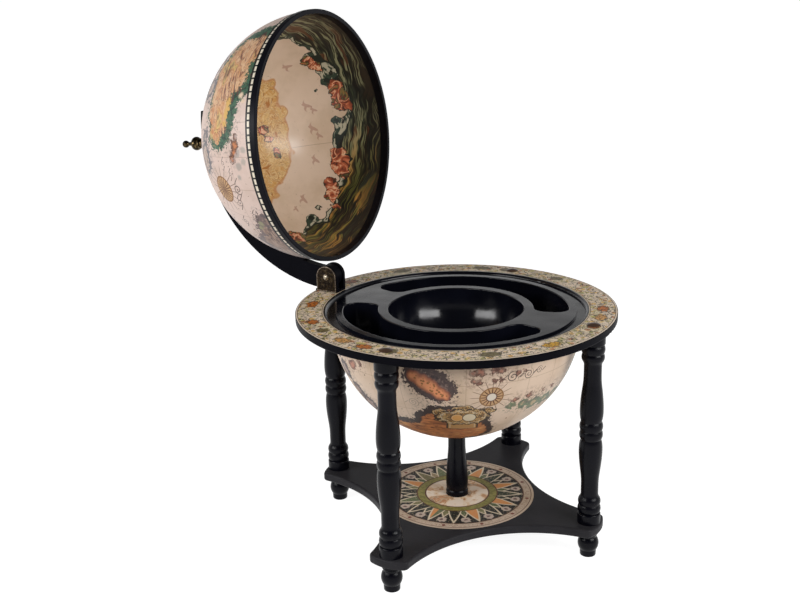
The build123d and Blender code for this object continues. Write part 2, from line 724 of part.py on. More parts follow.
def make_leg_fasteners():
    """Screws from the ring into the legs, their cover caps, and the foot bolts."""
    head_low = board_top - counterbore_depth
    with BuildPart() as screws:
        for x, y in leg_spots:
            with BuildSketch(turning(x, y)):
                with BuildLine():
                    Polyline((0, head_low + head_thickness), (leg_screw_head, head_low + head_thickness),
                             (leg_screw_head, head_low), (leg_screw_radius, head_low),
                             (leg_screw_radius, board_under - leg_screw_bite + 3),
                             (0, board_under - leg_screw_bite), (0, head_low + head_thickness))
                make_face()
            revolve(axis=Axis((x, y, 0), (0, 0, 1)))
    finish(screws.part, "leg_screws")

    with BuildPart() as caps:
        for name in ("left", "front", "right"):
            x, y = leg_place(leg_angles[name])
            with BuildSketch(turning(x, y, ring_top)):
                with BuildLine():
                    Polyline((0, -cap_stem), (leg_screw_head, -cap_stem), (leg_screw_head, 0),
                             (cap_radius, 0), (cap_radius, cap_edge))
                    crown(cap_radius, cap_edge, cap_height - cap_edge)
                    Line((0, cap_height), (0, -cap_stem))
                make_face()
            revolve(axis=Axis((x, y, 0), (0, 0, 1)))
    finish(caps.part, "ring_caps")

    with BuildPart() as bolts:
        for x, y in leg_spots:
            with BuildSketch(Plane(origin=(x, y, shelf_under - foot_bolt_down))):
                Circle(foot_bolt_radius)
            extrude(amount=foot_bolt_down + shelf_thickness + foot_bolt_up)
    finish(bolts.part, "foot_bolts")


# ---- shelf and column ------------------------------------------------------------------------------
def make_shelf():
    """Low board with four points under the legs and four hollowed sides, edges rounded over."""
    tip = shelf_reach - shelf_lobe_end
    waist = shelf_waist * cos(pi / 4)
    with BuildPart() as shelf:
        with BuildSketch(level(shelf_under)) as plan:
            with BuildLine():
                for quarter in range(4):
                    turned = Location((0, 0, 0), (0, 0, 90 * quarter))
                    side = ThreePointArc((tip, shelf_lobe), (waist, waist), (shelf_lobe, tip), mode=Mode.PRIVATE)
                    end = ThreePointArc((shelf_lobe, tip), (0, shelf_reach), (-shelf_lobe, tip), mode=Mode.PRIVATE)
                    add(turned * side)
                    add(turned * end)
            make_face()
            fillet(plan.vertices(), shelf_corner)
        extrude(amount=shelf_thickness)
        faces = shelf.faces().filter_by(Axis.Z)
        fillet(faces.edges(), shelf_edge_round)
        for x, y in leg_spots:
            drill(Plane(origin=(x, y, shelf_under)), foot_bolt_radius + hole_fit, shelf_thickness)
        drill(level(shelf_under), rod_radius + hole_fit, shelf_thickness)
        drill(level(shelf_under), rod_washer + 0.6, nut_height + rod_washer_thickness + 1)
    finish(shelf.part, "shelf")

    with BuildPart() as shelf_map:
        with BuildSketch(level(shelf_top)):
            Circle(disc_radius)
            Circle(column_bead + 0.3, mode=Mode.SUBTRACT)
        extrude(amount=paper)
    finish(shelf_map.part, "shelf_map")


def make_column():
    """Turned column from the shelf to the lower half, dished on top, bored for the rod."""
    foot, top = shelf_top, column_top + 2.5
    height = top - foot
    with BuildPart() as column:
        with BuildSketch(stand_section):
            with BuildLine():
                Polyline((0, foot), (column_bead - 0.6, foot))
                bead(column_bead - 0.6, column_bead, foot, foot + 1.6, column_bead - 0.5)
                bead(column_bead - 0.5, column_bead + 0.1, foot + 1.6, foot + 8.2, column_bead - 1.3)
                Spline((column_bead - 1.3, foot + 8.2), (column_bead - 0.1, foot + 0.15 * height),
                       (column_bead - 0.3, foot + 0.26 * height), (column_neck + 0.6, foot + 0.67 * height),
                       (column_neck, top), tangents=((0.5, 1), (-0.02, 1)))
                Polyline((column_neck, top), (0, top), (0, foot))
            make_face()
        revolve(axis=stand_axis)
        with Locations((0, axis_y, globe_centre)):
            Sphere(globe_radius + block_glue, mode=Mode.SUBTRACT)
        drill(level(foot), rod_radius + hole_fit, top - foot)
    finish(column.part, "column")

    inside = globe_centre - shell_inner
    washer_low = inside + 0.4
    recess = nut_height + rod_washer_thickness + 1
    with BuildPart() as rod:
        with BuildSketch(level(shelf_under + 0.6)):
            Circle(rod_radius)
        extrude(amount=inside + rod_stand_out - shelf_under - 0.6)
    finish(rod.part, "column_rod")

    for name, washer, nut in (
            ("column_upper_nut", washer_low, washer_low + rod_washer_thickness),
            ("column_lower_nut", shelf_under + recess - rod_washer_thickness,
             shelf_under + recess - rod_washer_thickness - nut_height)):
        with BuildPart() as stack:
            with BuildSketch(level(washer)):
                Circle(rod_washer)
                Circle(rod_radius + hole_fit, mode=Mode.SUBTRACT)
            extrude(amount=rod_washer_thickness)
            with BuildSketch(level(nut)):
                RegularPolygon(nut_flats / 2, 6, major_radius=False)
                Circle(rod_radius + hole_fit, mode=Mode.SUBTRACT)
            extrude(amount=nut_height)
        finish(stack.part, name)


make_ring()
make_tray()
make_lower_half()
make_lid_shell()
make_rim_band()
make_arm()
make_pole_pieces()
make_hinge_block()
make_hinge_plates()
make_hinge_pin()
make_hinge_trim()
make_legs()
make_feet()
make_leg_fasteners()
make_shelf()
make_column()

print(f"globe axis at y {axis_y:.2f}, hinge at y {axis_y + hinge_y:.2f} z {hinge_z:.2f}")
print(f"open lid centre y {axis_y + open_y:.2f} z {open_z:.2f}, ring radius {ring_radius:.2f}")
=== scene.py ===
# %% [markdown]
# # A tabletop globe bar
# The object is a small drinks cabinet in the shape of an antique globe.  Four turned legs carry a wide
# ring with half a globe hung in it.  A black moulded tray with wells for bottles and glasses fills the
# ring, and the upper half globe is the lid, which swings back on a curved wooden arm.
#
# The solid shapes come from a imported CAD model, so this lesson is mostly about finishes: paint on turned
# wood, moulded plastic, aged brass, and above all the printed papers.  A printed paper could be an image
# wrapped round the globe.  Here each print is worked out by shader nodes instead, so that it stays sharp
# at any distance and needs no file beside this one.

# %% Load the model
from math import cos, pi, radians, sin, tau

import bpy
import numpy as np
from mathutils import Matrix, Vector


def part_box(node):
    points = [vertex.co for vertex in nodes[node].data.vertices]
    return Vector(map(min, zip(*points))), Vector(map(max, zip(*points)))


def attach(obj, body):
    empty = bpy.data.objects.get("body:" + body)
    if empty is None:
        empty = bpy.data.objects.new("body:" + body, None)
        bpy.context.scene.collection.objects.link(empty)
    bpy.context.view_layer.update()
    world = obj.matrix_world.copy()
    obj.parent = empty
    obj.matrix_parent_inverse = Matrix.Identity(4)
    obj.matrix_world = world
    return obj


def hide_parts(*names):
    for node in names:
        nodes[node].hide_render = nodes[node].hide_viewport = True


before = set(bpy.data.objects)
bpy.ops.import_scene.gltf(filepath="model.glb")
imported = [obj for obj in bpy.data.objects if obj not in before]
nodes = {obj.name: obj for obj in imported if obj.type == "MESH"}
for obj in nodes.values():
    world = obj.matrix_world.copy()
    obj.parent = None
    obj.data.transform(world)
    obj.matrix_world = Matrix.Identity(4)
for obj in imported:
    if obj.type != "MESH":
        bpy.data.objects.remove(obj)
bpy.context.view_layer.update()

# %% [markdown]
# ## Where things are
# The prints follow three round shapes: the lower half globe, the lid, and the flat ring and disc that share
# the globe's axis.  Each gets an origin and three directions.  The lid is open in the model, so its
# directions are turned back about the hinge by the opening angle.  Lengths here are in metres, as in all
# of Blender, but the patterns are easier to think about in millimetres, so the nodes work in those.

# %% Origins and directions of the round shapes
AXIS_Y = -0.11028
GLOBE_CENTRE = (0, AXIS_Y, 0.3091)
LID_CENTRE = (0, 0.07851, 0.53009)
GLOBE_RADIUS = 164.5
OPEN = radians(95.8)
UPRIGHT = ((1, 0, 0), (0, 1, 0), (0, 0, 1))
HANGING = ((1, 0, 0), (0, 1, 0), (0, 0, -1))
LID_TURNED = ((1, 0, 0), (0, cos(OPEN), -sin(OPEN)), (0, sin(OPEN), cos(OPEN)))


def heading(azimuth, polar):
    """Unit direction at two angles in degrees: round the pole, and away from the pole."""
    a, p = radians(azimuth), radians(polar)
    return (sin(p) * cos(a), sin(p) * sin(a), cos(p))


def ink(red, green, blue):
    """A printed colour given as 0 to 255 screen values, turned into the linear values that nodes use."""
    steps = np.array((red, green, blue)) / 255
    linear = np.where(steps <= 0.04045, steps / 12.92, ((steps + 0.055) / 1.055) ** 2.4)
    return (*linear.tolist(), 1.0)


# %% [markdown]
# ## Formulas instead of nodes
# A print needs dozens of small nodes, and adding them one by one hides the idea.  So a number that comes out
# of a node is wrapped in an object of its own, and plain arithmetic on it adds the Math nodes.  The same
# could be done with node groups, but then the exported model would lose some of the values.

# %% Numbers that come out of nodes
class Number:
    """A node's output that can be added, taken away, multiplied and divided."""

    def __init__(self, tree, socket):
        self.tree, self.socket = tree, socket

    def __add__(self, other):
        return self.tree.math("ADD", self, other)

    def __sub__(self, other):
        return self.tree.math("SUBTRACT", self, other)

    def __rsub__(self, other):
        return self.tree.math("SUBTRACT", other, self)

    def __mul__(self, other):
        return self.tree.math("MULTIPLY", self, other)

    def __truediv__(self, other):
        return self.tree.math("DIVIDE", self, other)

    def __abs__(self):
        return self.tree.math("ABSOLUTE", self)


# %% [markdown]
# ## A tree with short calls
# The tree has a short call for each kind of node that is needed more than once.  Every call takes plain
# numbers or the outputs of earlier calls, and returns an output, so a pattern reads like a formula.

# %% Node trees with short calls
class Tree:
    """A node tree, with short calls that each add a node and return its output."""

    def __init__(self, tree):
        self.tree = tree

    def put(self, socket, value):
        value = value.socket if isinstance(value, Number) else value
        if isinstance(value, bpy.types.NodeSocket):
            self.tree.links.new(value, socket)
        else:
            socket.default_value = value

    def add(self, kind, inputs=(), **settings):
        node = self.tree.nodes.new(kind)
        for name, value in settings.items():
            setattr(node, name, value)
        for key, value in dict(inputs).items():
            self.put(node.inputs[key], value)
        return node

    def math(self, operation, *values):
        return Number(self, self.add("ShaderNodeMath", enumerate(values), operation=operation).outputs[0])

    def vector(self, operation, *values):
        node = self.add("ShaderNodeVectorMath", enumerate(values), operation=operation)
        if operation in ("DOT_PRODUCT", "DISTANCE", "LENGTH"):
            return Number(self, node.outputs["Value"])
        return node.outputs["Vector"]

    def join(self, x, y, z=0.0):
        return self.add("ShaderNodeCombineXYZ", enumerate((x, y, z))).outputs[0]

    def split(self, vector):
        return [Number(self, part) for part in self.add("ShaderNodeSeparateXYZ", {0: vector}).outputs]

    def smooth(self, value, low, high, first=0.0, last=1.0):
        """Soft step from one value to another as the input goes from low to high."""
        node = self.add("ShaderNodeMapRange", enumerate((value, low, high, first, last)),
                        interpolation_type="SMOOTHSTEP")
        return Number(self, node.outputs[0])


# %% [markdown]
# ## A canvas for one material
# A canvas is the tree of one material.  It knows the point being painted, in millimetres, and adds the
# patterns that prints are made of: noise, scattered cells, soft-edged shapes, and ink laid over ink through
# masks, which are numbers from nought to one.

# %% The canvas
class Canvas(Tree):
    """One material, painted by formulas."""

    def __init__(self, name, roughness, **settings):
        self.material = bpy.data.materials.new(name)
        self.material.use_nodes = True
        super().__init__(self.material.node_tree)
        self.shader = self.tree.nodes["Principled BSDF"]
        self.shader.inputs["Roughness"].default_value = roughness
        for socket, value in settings.items():
            self.shader.inputs[socket.replace("_", " ")].default_value = value
        self.point = self.vector("MULTIPLY", self.add("ShaderNodeTexCoord").outputs["Object"], (1000,) * 3)

    def noise(self, point, scale, detail=3.0, roughness=0.55, distortion=0.0, output="Fac"):
        node = self.add("ShaderNodeTexNoise", {"Vector": point, "Scale": scale, "Detail": detail,
                                               "Roughness": roughness, "Distortion": distortion})
        return Number(self, node.outputs[output])

    def cells(self, point, scale, feature="F1"):
        """Scattered cells: the distance to the nearest centre, a random colour, and the centre's place."""
        node = self.add("ShaderNodeTexVoronoi", {"Vector": point, "Scale": scale}, feature=feature)
        return Number(self, node.outputs["Distance"]), node.outputs["Color"], node.outputs["Position"]

    def shake(self, point, scale, amount, detail=2.0):
        """Point pushed about by noise, up to about the amount each way."""
        push = self.vector("SUBTRACT", self.noise(point, scale, detail, 0.6, output="Color"), (0.5,) * 3)
        return self.vector("ADD", point, self.vector("MULTIPLY", push, (2 * amount,) * 3))

    def length(self, x, y):
        return self.vector("LENGTH", self.join(x, y))

    def turn(self, x, y):
        """Angle of a flat place about the origin, in radians."""
        return self.math("ARCTAN2", y, x)

    def fold(self, value, half=0.5):
        """Zigzag: up from nought to a half period and down again."""
        return self.math("PINGPONG", value, half)

    def oval(self, x, y, wide, high):
        """Distance from the middle as a share of the way to an oval's edge."""
        return self.length(x / wide, y / high)

    def within(self, value, limit, soft):
        """One below the limit, fading to nothing over soft."""
        return self.smooth(value, limit, limit + soft, 1.0, 0.0)

    def line(self, value, middle, half, soft):
        """One where the value is within half of the middle, fading to nothing over soft."""
        return self.within(abs(value - middle), half, soft)

    def inside(self, mask, *others):
        """Product of several masks."""
        for other in others:
            mask = mask * other
        return mask

    def over(self, base, colour, *masks):
        """Ink laid over a base colour where all the masks are one."""
        return self.add("ShaderNodeMix", {0: self.inside(*masks), 6: base, 7: colour}, data_type="RGBA").outputs[2]

    def ramp(self, value, stops, interpolation="LINEAR"):
        """Colour that changes with a value; a stop is its place and an ink, ready or as three screen values."""
        node = self.add("ShaderNodeValToRGB", {0: value})
        node.color_ramp.interpolation = interpolation
        elements = node.color_ramp.elements
        stops = [(place, colour[0] if len(colour) == 1 else ink(*colour)) for place, *colour in stops]
        for place, colour in stops[1:-1]:
            elements.new(place).color = colour
        for end in (0, -1):
            elements[end].position, elements[end].color = stops[end]
        return node.outputs["Color"]

    def bump(self, height, distance):
        """Small relief: a height of one stands this many metres proud."""
        node = self.add("ShaderNodeBump", {"Height": height, "Distance": distance, "Strength": 1.0})
        return node.outputs["Normal"]

    def local(self, origin, axes):
        """The point's three coordinates in a piece's own directions, in millimetres."""
        arm = self.vector("SUBTRACT", self.point, tuple(1000 * v for v in origin))
        return [self.vector("DOT_PRODUCT", arm, axis) for axis in axes]

    def finish(self, colour, roughness=None, normal=None):
        for socket, value in (("Base Color", colour), ("Roughness", roughness), ("Normal", normal)):
            if value is not None:
                self.put(self.shader.inputs[socket], value)
        return self.material


def coat(material, *names):
    """Give a material to CAD pieces."""
    for name in names:
        nodes[name].data.materials.clear()
        nodes[name].data.materials.append(material)
    print(material.name, "on", ", ".join(names))


# %% [markdown]
# ## Painted wood
# The legs, feet and column are turned on a lathe and sprayed a satin blue-black; the ring, the arm, the hinge
# block and the shelf are black, and the caps over the ring's screws are brown.  Paint hides most of the
# wood, but the grain still shows as faint long ripples, and the spray leaves a fine orange peel.  A single
# colour would look like plastic, so the nodes add both as relief, and let the shine vary a little.

# %% Satin paint over wood
def painted_wood(name, colour, roughness, specular, grain):
    """Paint with long ripples of grain along one direction; grain scales the three directions."""
    c = Canvas(name, roughness, Specular_IOR_Level=specular)
    ripple = c.noise(c.vector("MULTIPLY", c.point, grain), 0.5, 4.0, 0.6)
    peel = c.noise(c.point, 1.4, 2.0)
    tone = c.noise(c.point, 0.02, 2.0)
    dark = tuple(0.75 * v for v in colour[:3]) + (1.0,)
    shade = c.over(dark, colour, c.smooth(tone * 0.6 + ripple * 0.4, 0.35, 0.65))
    shine = c.smooth(tone, 0.3, 0.7, roughness - 0.04, roughness + 0.06)
    return c.finish(shade, shine, c.bump(ripple * 0.7 + peel * 0.3, 0.00006))


ALONG_Z = (1.0, 1.0, 0.08)
ALONG_Y = (1.0, 0.08, 1.0)
legs = [f"{part}_{side}" for part in ("leg", "foot") for side in ("rear", "left", "front", "right")]
coat(painted_wood("turned_paint", ink(7, 7, 15), 0.26, 0.12, ALONG_Z), *legs, "column")
coat(painted_wood("black_paint", ink(11, 11, 17), 0.42, 0.025, ALONG_Y),
     "ring_board", "meridian_arm", "rim_block", "pole_spacer", "hinge_block")
coat(painted_wood("shelf_paint", ink(47, 46, 49), 0.42, 0.08, ALONG_Y), "shelf")
coat(painted_wood("cap_patina", ink(74, 54, 42), 0.32, 0.3, ALONG_Z), "ring_caps")

# %% [markdown]
# ## Moulded plastic
# The tray is formed from one glossy navy-black sheet, and the band on the lid's edge is a satin black
# extrusion.  Gloss plastic looks real through what it reflects, so the colour is almost black, the shine is
# high, and a very weak long relief bends the reflections as a formed sheet does.

# %% Tray and rim plastic
def moulded(name, colour, roughness, specular, swell, peel):
    """Plastic with a slow swell that bends reflections, and a fine grain."""
    c = Canvas(name, roughness, Specular_IOR_Level=specular)
    slow = c.noise(c.point, 0.02, 1.0)
    fine = c.noise(c.point, 2.2, 2.0)
    shade = c.over(colour, tuple(1.5 * v for v in colour[:3]) + (1.0,), c.smooth(slow, 0.4, 0.7))
    shine = c.smooth(c.noise(c.point, 0.05, 4.0), 0.3, 0.7, roughness - 0.03, roughness + 0.04)
    return c.finish(shade, shine, c.bump(slow * swell + fine * peel, 0.0001))


coat(moulded("tray_plastic", ink(8, 9, 16), 0.16, 0.29, 3.0, 0.04), "tray")
coat(moulded("rim_plastic", ink(12, 12, 18), 0.34, 0.06, 0.5, 0.15), "rim_band")

# %% [markdown]
# ## Fibreboard and rubber
# Both half globes are pressed from brown board, a few millimetres thick.  Hardly any of it shows once the
# papers are on, but the raw edge can be seen inside the ring, so it gets its flecks and fibres.  The pad
# that the opened arm rests on is plain black rubber.

# %% Fibreboard and rubber
def fibreboard():
    """Brown board with short pale and dark fibres."""
    c = Canvas("fibreboard", 0.8)
    fibres = c.noise(c.vector("MULTIPLY", c.point, (1.0, 0.3, 1.0)), 1.6, 4.0, 0.7)
    colour = c.ramp(fibres, [(0.3, 120, 92, 62), (0.5, 160, 128, 92), (0.7, 188, 160, 122)])
    return c.finish(colour, None, c.bump(fibres, 0.0002))


def rubber():
    """Black rubber with a fine moulded grain."""
    c = Canvas("pad_rubber", 0.7)
    grain = c.noise(c.point, 3.0, 3.0)
    return c.finish(c.over(ink(20, 20, 20), ink(38, 38, 38), grain), None, c.bump(grain, 0.00008))


coat(fibreboard(), "lower_shell", "lid_shell")
coat(rubber(), "stop_pad")

# %% [markdown]
# ## Metal
# The pin's caps and the finial are cast brass that has been browned, so it is dark in the hollows and
# bright where hands rub it.  Plain steel is used where nothing shows.  Two layers do it: a browned colour
# and a bare one, mixed by a mottled noise, with the browned places also duller.

# %% Brass and steel
def aged_metal(name, brown, bare, roughness, share, scale):
    """Metal browned in patches; share is how much bare metal shows."""
    c = Canvas(name, roughness, Metallic=1.0)
    patches = c.noise(c.point, scale, 5.0, 0.65)
    wear = c.smooth(patches, 0.62 - share, 0.78 - share)
    return c.finish(c.over(brown, bare, wear), c.smooth(wear, 0.0, 1.0, roughness + 0.15, roughness),
                    c.bump(patches, 0.00012))


coat(aged_metal("cap_bronze", ink(58, 46, 36), ink(128, 104, 76), 0.34, 0.12, 0.4), "pole_nut")
coat(aged_metal("worn_cap", ink(70, 60, 48), ink(168, 156, 136), 0.26, 0.26, 0.5), "hinge_caps")
coat(aged_metal("finial_brass", ink(44, 38, 28), ink(104, 88, 60), 0.26, 0.16, 0.3), "finial")
coat(aged_metal("bush_brass", ink(150, 118, 66), ink(190, 156, 96), 0.3, 0.3, 0.5), "arm_bush", "hinge_washers")
coat(aged_metal("zinc_steel", ink(120, 122, 124), ink(170, 172, 175), 0.32, 0.3, 0.6),
     "hinge_pin", "hinge_screws", "finial_bolt", "leg_screws", "foot_bolts", "column_rod",
     "column_upper_nut", "column_lower_nut")

# %% [markdown]
# ## Cast hinge plates
# Each cheek of the hinge block wears a cast plate: an arch with a rounded raised border, a worn boss round
# the pin and low scrolls on the field.  The relief is too fine for CAD, so new meshes take the place of the
# two plain plates.  First come the plate's outline and the height of its relief, as plain formulas.

# %% Outline and relief of a hinge plate
PLATE_FOOT = 20.3       # from the pin to the straight foot, mm
PLATE_ROUND = 15.4      # radius of the arch, mm
PLATE_THICK = 1.2
PLATE_RELIEF = 0.4
PIN_HOLE = 3.05
BOSS = 5.6              # radius of the boss round the pin, mm
BOSS_ROUND = 2.5        # width of its rounded part, mm
BORDER = 1.7
BLEND = 0.6             # width over which the field meets border and boss, mm
BOSS_HIGH, SCROLL_HIGH, FIELD_HIGH, GRAIN_HIGH = 0.8, 0.62, 0.14, 0.12  # as shares of the relief
SCROLLS = ((-6.6, 6.0, 2.3, 1), (6.6, 6.0, 2.3, -1), (0, 10.6, 2.0, 1), (-8.0, -5.2, 2.4, -1),
           (8.0, -5.2, 2.4, 1), (-5.4, -13.6, 2.5, 1), (5.4, -13.6, 2.5, -1), (0, -9.4, 2.0, 1))


def arch_reach(angle):
    """Distance from the pin to the arch: its radius above, and the nearer of side and foot below."""
    side = PLATE_ROUND / np.maximum(np.abs(np.cos(angle)), 1e-9)
    foot = PLATE_FOOT / np.maximum(-np.sin(angle), 1e-9)
    return np.where(np.sin(angle) >= 0, PLATE_ROUND, np.minimum(side, foot))


def plate_height(across, up):
    """Share of the relief: border bead, boss about the pin, and scrolls between them.

    The bead is the root of a half sine of the distance to the edge.  A scroll is a spiral: a cosine of
    the distance over its pitch less the angle over a full turn, which fades out at twice the pitch.
    """
    inset = np.where(up >= 0, PLATE_ROUND - np.hypot(across, up),
                     np.minimum(PLATE_ROUND - np.abs(across), PLATE_FOOT + up))
    bead = np.where(inset < BORDER, np.sin(np.clip(inset / BORDER, 0, 1) * pi) ** 0.5, 0.0)
    away = np.hypot(across, up)
    boss = np.where(away < BOSS, np.sin(np.clip((away - PIN_HOLE) / BOSS_ROUND, 0, 1) * pi) ** 0.6, 0.0)
    scrolls = np.zeros_like(away)
    for x, y, pitch, hand in SCROLLS:
        near = np.hypot(across - x, up - y)
        turn = near / pitch - hand * np.arctan2(up - y, across - x) / tau
        ridge = np.clip(np.cos(tau * turn), 0, 1) * np.clip((2.1 * pitch - near) / pitch, 0, 1)
        scrolls = np.maximum(scrolls, ridge)
    field = np.clip((inset - BORDER) / BLEND, 0, 1) * np.clip((away - BOSS) / BLEND, 0, 1)
    grain = np.sin(5.1 * across + 1.3 * np.sin(3.7 * up)) * np.sin(4.7 * up + 1.7 * np.sin(4.1 * across))
    cast = field * (SCROLL_HIGH * scrolls + FIELD_HIGH + GRAIN_HIGH * grain)
    return np.clip(np.maximum(bead, BOSS_HIGH * boss) + cast, 0, 1)


# %% [markdown]
# ## The plates as meshes
# A plate is one profile, out over the face and back under it, carried round the pin: the first parameter
# goes round and the second goes from the back of the hole over the face to the back of the edge.  The
# height is kept on the points too, so that the metal can be bright where it stands proud.

# %% Mesh and finish of the hinge plates
def make_plate(name, cheek_x, side, pin_y, pin_z, steps=520, rings=62):
    """A plate's mesh: rings from the back of the hole, over the face, to the back of the edge."""
    corner = np.arctan2(-PLATE_FOOT, PLATE_ROUND)
    angle = np.unique(np.concatenate((np.linspace(-pi, pi, steps, endpoint=False), (corner, -pi - corner))))
    share = np.concatenate(((0.0,), np.linspace(0, 1, rings), (1.0,)))[:, None]
    reach = PIN_HOLE + (arch_reach(angle)[None, :] - PIN_HOLE) * share
    across, up = reach * np.cos(angle), reach * np.sin(angle)
    height = plate_height(across, up)
    proud = PLATE_THICK + PLATE_RELIEF * height
    proud[0], proud[-1] = 0.0, 0.0
    points = np.stack((cheek_x + side * proud, pin_y + across, pin_z + up), axis=-1).reshape(-1, 3) / 1000
    here = np.arange(reach.size).reshape(reach.shape)
    there = np.roll(here, -1, axis=0)
    quads = np.stack((here, np.roll(here, -1, 1), np.roll(there, -1, 1), there), axis=-1).reshape(-1, 4)
    if side > 0:
        quads = quads[:, ::-1]
    mesh = bpy.data.meshes.new(name)
    mesh.from_pydata(points.tolist(), [], quads.tolist())
    mesh.attributes.new("proud", "FLOAT", "POINT").data.foreach_set("value", height.ravel())
    mesh.update()
    plate = bpy.data.objects.new(name, mesh)
    bpy.context.scene.collection.objects.link(plate)
    print(name, "has", len(mesh.polygons), "faces")
    return plate


def worn_plate():
    """Browned brass, bare where the relief stands proud."""
    c = Canvas("plate_bronze", 0.4, Metallic=1.0)
    proud = Number(c, c.add("ShaderNodeAttribute", attribute_name="proud").outputs["Fac"])
    patches = c.noise(c.point, 0.9, 4.0, 0.65)
    wear = c.smooth(proud + (patches - 0.5) * 2.0, 0.72, 1.25)
    brown = c.over(ink(30, 24, 20), ink(58, 48, 34), c.smooth(c.noise(c.point, 0.35, 3.0), 0.45, 0.6))
    return c.finish(c.over(brown, ink(158, 144, 130), wear), c.smooth(wear, 0.0, 1.0, 0.55, 0.36),
                    c.bump(patches, 0.0001))


bronze = worn_plate()
for side_name, side in (("left", -1), ("right", 1)):
    low, high = (np.array(corner) * 1000 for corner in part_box(f"hinge_plate_{side_name}"))
    cheek_x = high[0] if side < 0 else low[0]
    plate = make_plate(f"plate_relief_{side_name}", cheek_x, side, (low[1] + high[1]) / 2, low[2] + PLATE_FOOT)
    plate.data.materials.append(bronze)
    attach(plate, "stand")
    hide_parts(f"hinge_plate_{side_name}")

# %% [markdown]
# ## Old-map paper
# All the papers share one ground: a pinkish cream sheet, stained and varnished.  The stain is a slow noise,
# with fine foxing spots on top.  The varnish is a clear coat over a fairly rough ink.  A paper remembers the
# colour printed on it so far, and each new ink is laid over that.

# %% The paper ground
PAPER = ink(209, 186, 175)
STAIN = ink(186, 162, 146)
BROWN = ink(92, 60, 44)
SEPIA = ink(126, 92, 66)
BLACK = ink(24, 22, 22)


class Paper(Canvas):
    """A varnished sheet, the colour printed on it so far, and its place on a globe."""

    def __init__(self, name, varnish=0.1):
        super().__init__(name, 0.5, Specular_IOR_Level=0.3, Coat_Weight=varnish, Coat_Roughness=0.22)

    def lay(self, colour, *masks):
        """Print an ink where all the masks are one."""
        self.base = self.over(self.base, colour, *masks)

    def ground(self, pale=PAPER, stained=STAIN):
        """The cream sheet before any ink: slow stains and small brown spots."""
        stains = self.smooth(self.noise(self.point, 0.018, 4.0, 0.6), 0.4, 0.72, 0.0, 0.75)
        self.base = self.over(pale, stained, stains)
        self.lay(SEPIA, self.smooth(self.noise(self.point, 0.25, 3.0, 0.6), 0.66, 0.74, 0.0, 0.35))

    def wrap(self, centre, axes):
        """Direction from a half globe's centre, with its two angles in degrees."""
        x, y, z = self.local(centre, axes)
        self.unit = self.vector("NORMALIZE", self.join(x, y, z))
        self.azimuth = self.math("DEGREES", self.turn(x, y))
        self.polar = self.math("DEGREES", self.turn(z, self.math("SQRT", x * x + y * y)))

    def dry(self):
        """The printed material, with the faint tooth of a sheet."""
        return self.finish(self.base, None, self.bump(self.noise(self.point, 0.5, 3.0), 0.00005))


# %% [markdown]
# ## Coasts
# An invented coast is a union of round blobs on the globe, with its outline shaken by noise.  Each blob is
# its radius less the distance to its middle, and a smooth maximum joins them, so the result is above zero on
# land and falls off with the distance from the shore.  The one value then gives everything a map engraver
# draws: the shore line, the tinted belt inside it and the short strokes in the water outside.

# %% Land from blobs
def land(c, blobs, sway=0.12, fray=0.04):
    """Smooth union of blobs (azimuth, polar, radius), in globe radii, above zero on land."""
    shaken = c.shake(c.shake(c.unit, 2.6, sway), 13.0, fray, 4.0)
    field = None
    for azimuth, polar, radius in blobs:
        blob = radius - c.vector("DISTANCE", shaken, heading(azimuth, polar))
        field = blob if field is None else c.math("SMOOTH_MAX", field, blob, 0.05)
    return field


def patch(c, blobs, strength=1.0):
    """Mask of a washed patch with a soft ragged edge."""
    return c.smooth(land(c, blobs, 0.02, 0.02), 0.0, 0.02) * strength


def streaks(c, unit, polar, round_scale, out_scale, *settings):
    """Noise drawn out into long streaks that run round the pole."""
    x, y, _ = c.split(unit)
    return c.noise(c.join(x * round_scale, y * round_scale, polar * out_scale), 1.0, *settings)


def print_coast(c, field, belt, inland, strokes, inner=0.05, outer=0.012, spikes=0.17):
    """A coast: strokes out to sea, inland tint, and a furry belt along the shore."""
    fur = c.noise(c.unit, 44.0, 3.0, 0.65) - 0.5
    c.lay(strokes, c.smooth(field, -0.09, -0.02), c.smooth(fur, 0.02, 0.06), 0.5)
    c.lay(inland, c.smooth(field, 0.0, 0.006))
    ragged = field + fur * spikes
    mottled = c.over(belt, strokes, c.smooth(c.noise(c.unit, 26.0, 4.0, 0.7), 0.46, 0.6))
    c.lay(mottled, c.smooth(ragged, -outer - 0.004, -outer), c.within(ragged - inner, 0.0, 0.02))


def print_specks(c, scale, size, colour, share, *where):
    """Small outlined islands scattered over the sea; share is how many places are used."""
    distance, random, _ = c.cells(c.unit, scale)
    ragged = distance + c.noise(c.unit, scale * 3.0) * 0.28
    used = (c.within(c.split(random)[0], share, 0.02), *where)
    c.lay(BROWN, *used, c.within(ragged, size + 0.03, 0.03))
    c.lay(colour, *used, c.within(ragged, size, 0.02))


def print_grid(c, step=15, strength=0.35):
    """Thin lines of longitude and latitude every few degrees."""
    lines = (c.within(c.fold(angle, step / 2), 0.10, 0.12) for angle in (c.azimuth, c.polar))
    c.lay(SEPIA, c.math("MAXIMUM", *lines), strength)


def inland_tint(c, scale, *stops):
    """Land colour that wanders with a slow noise and is combed into streaks along the rim."""
    slow = c.noise(c.unit, scale, 3.0, 0.6)
    streak = streaks(c, c.shake(c.unit, 4.0, 0.05), c.polar, 4.0, 0.2, 3.0, 0.6)
    return c.ramp(slow * 0.5 + streak * 0.5, stops)


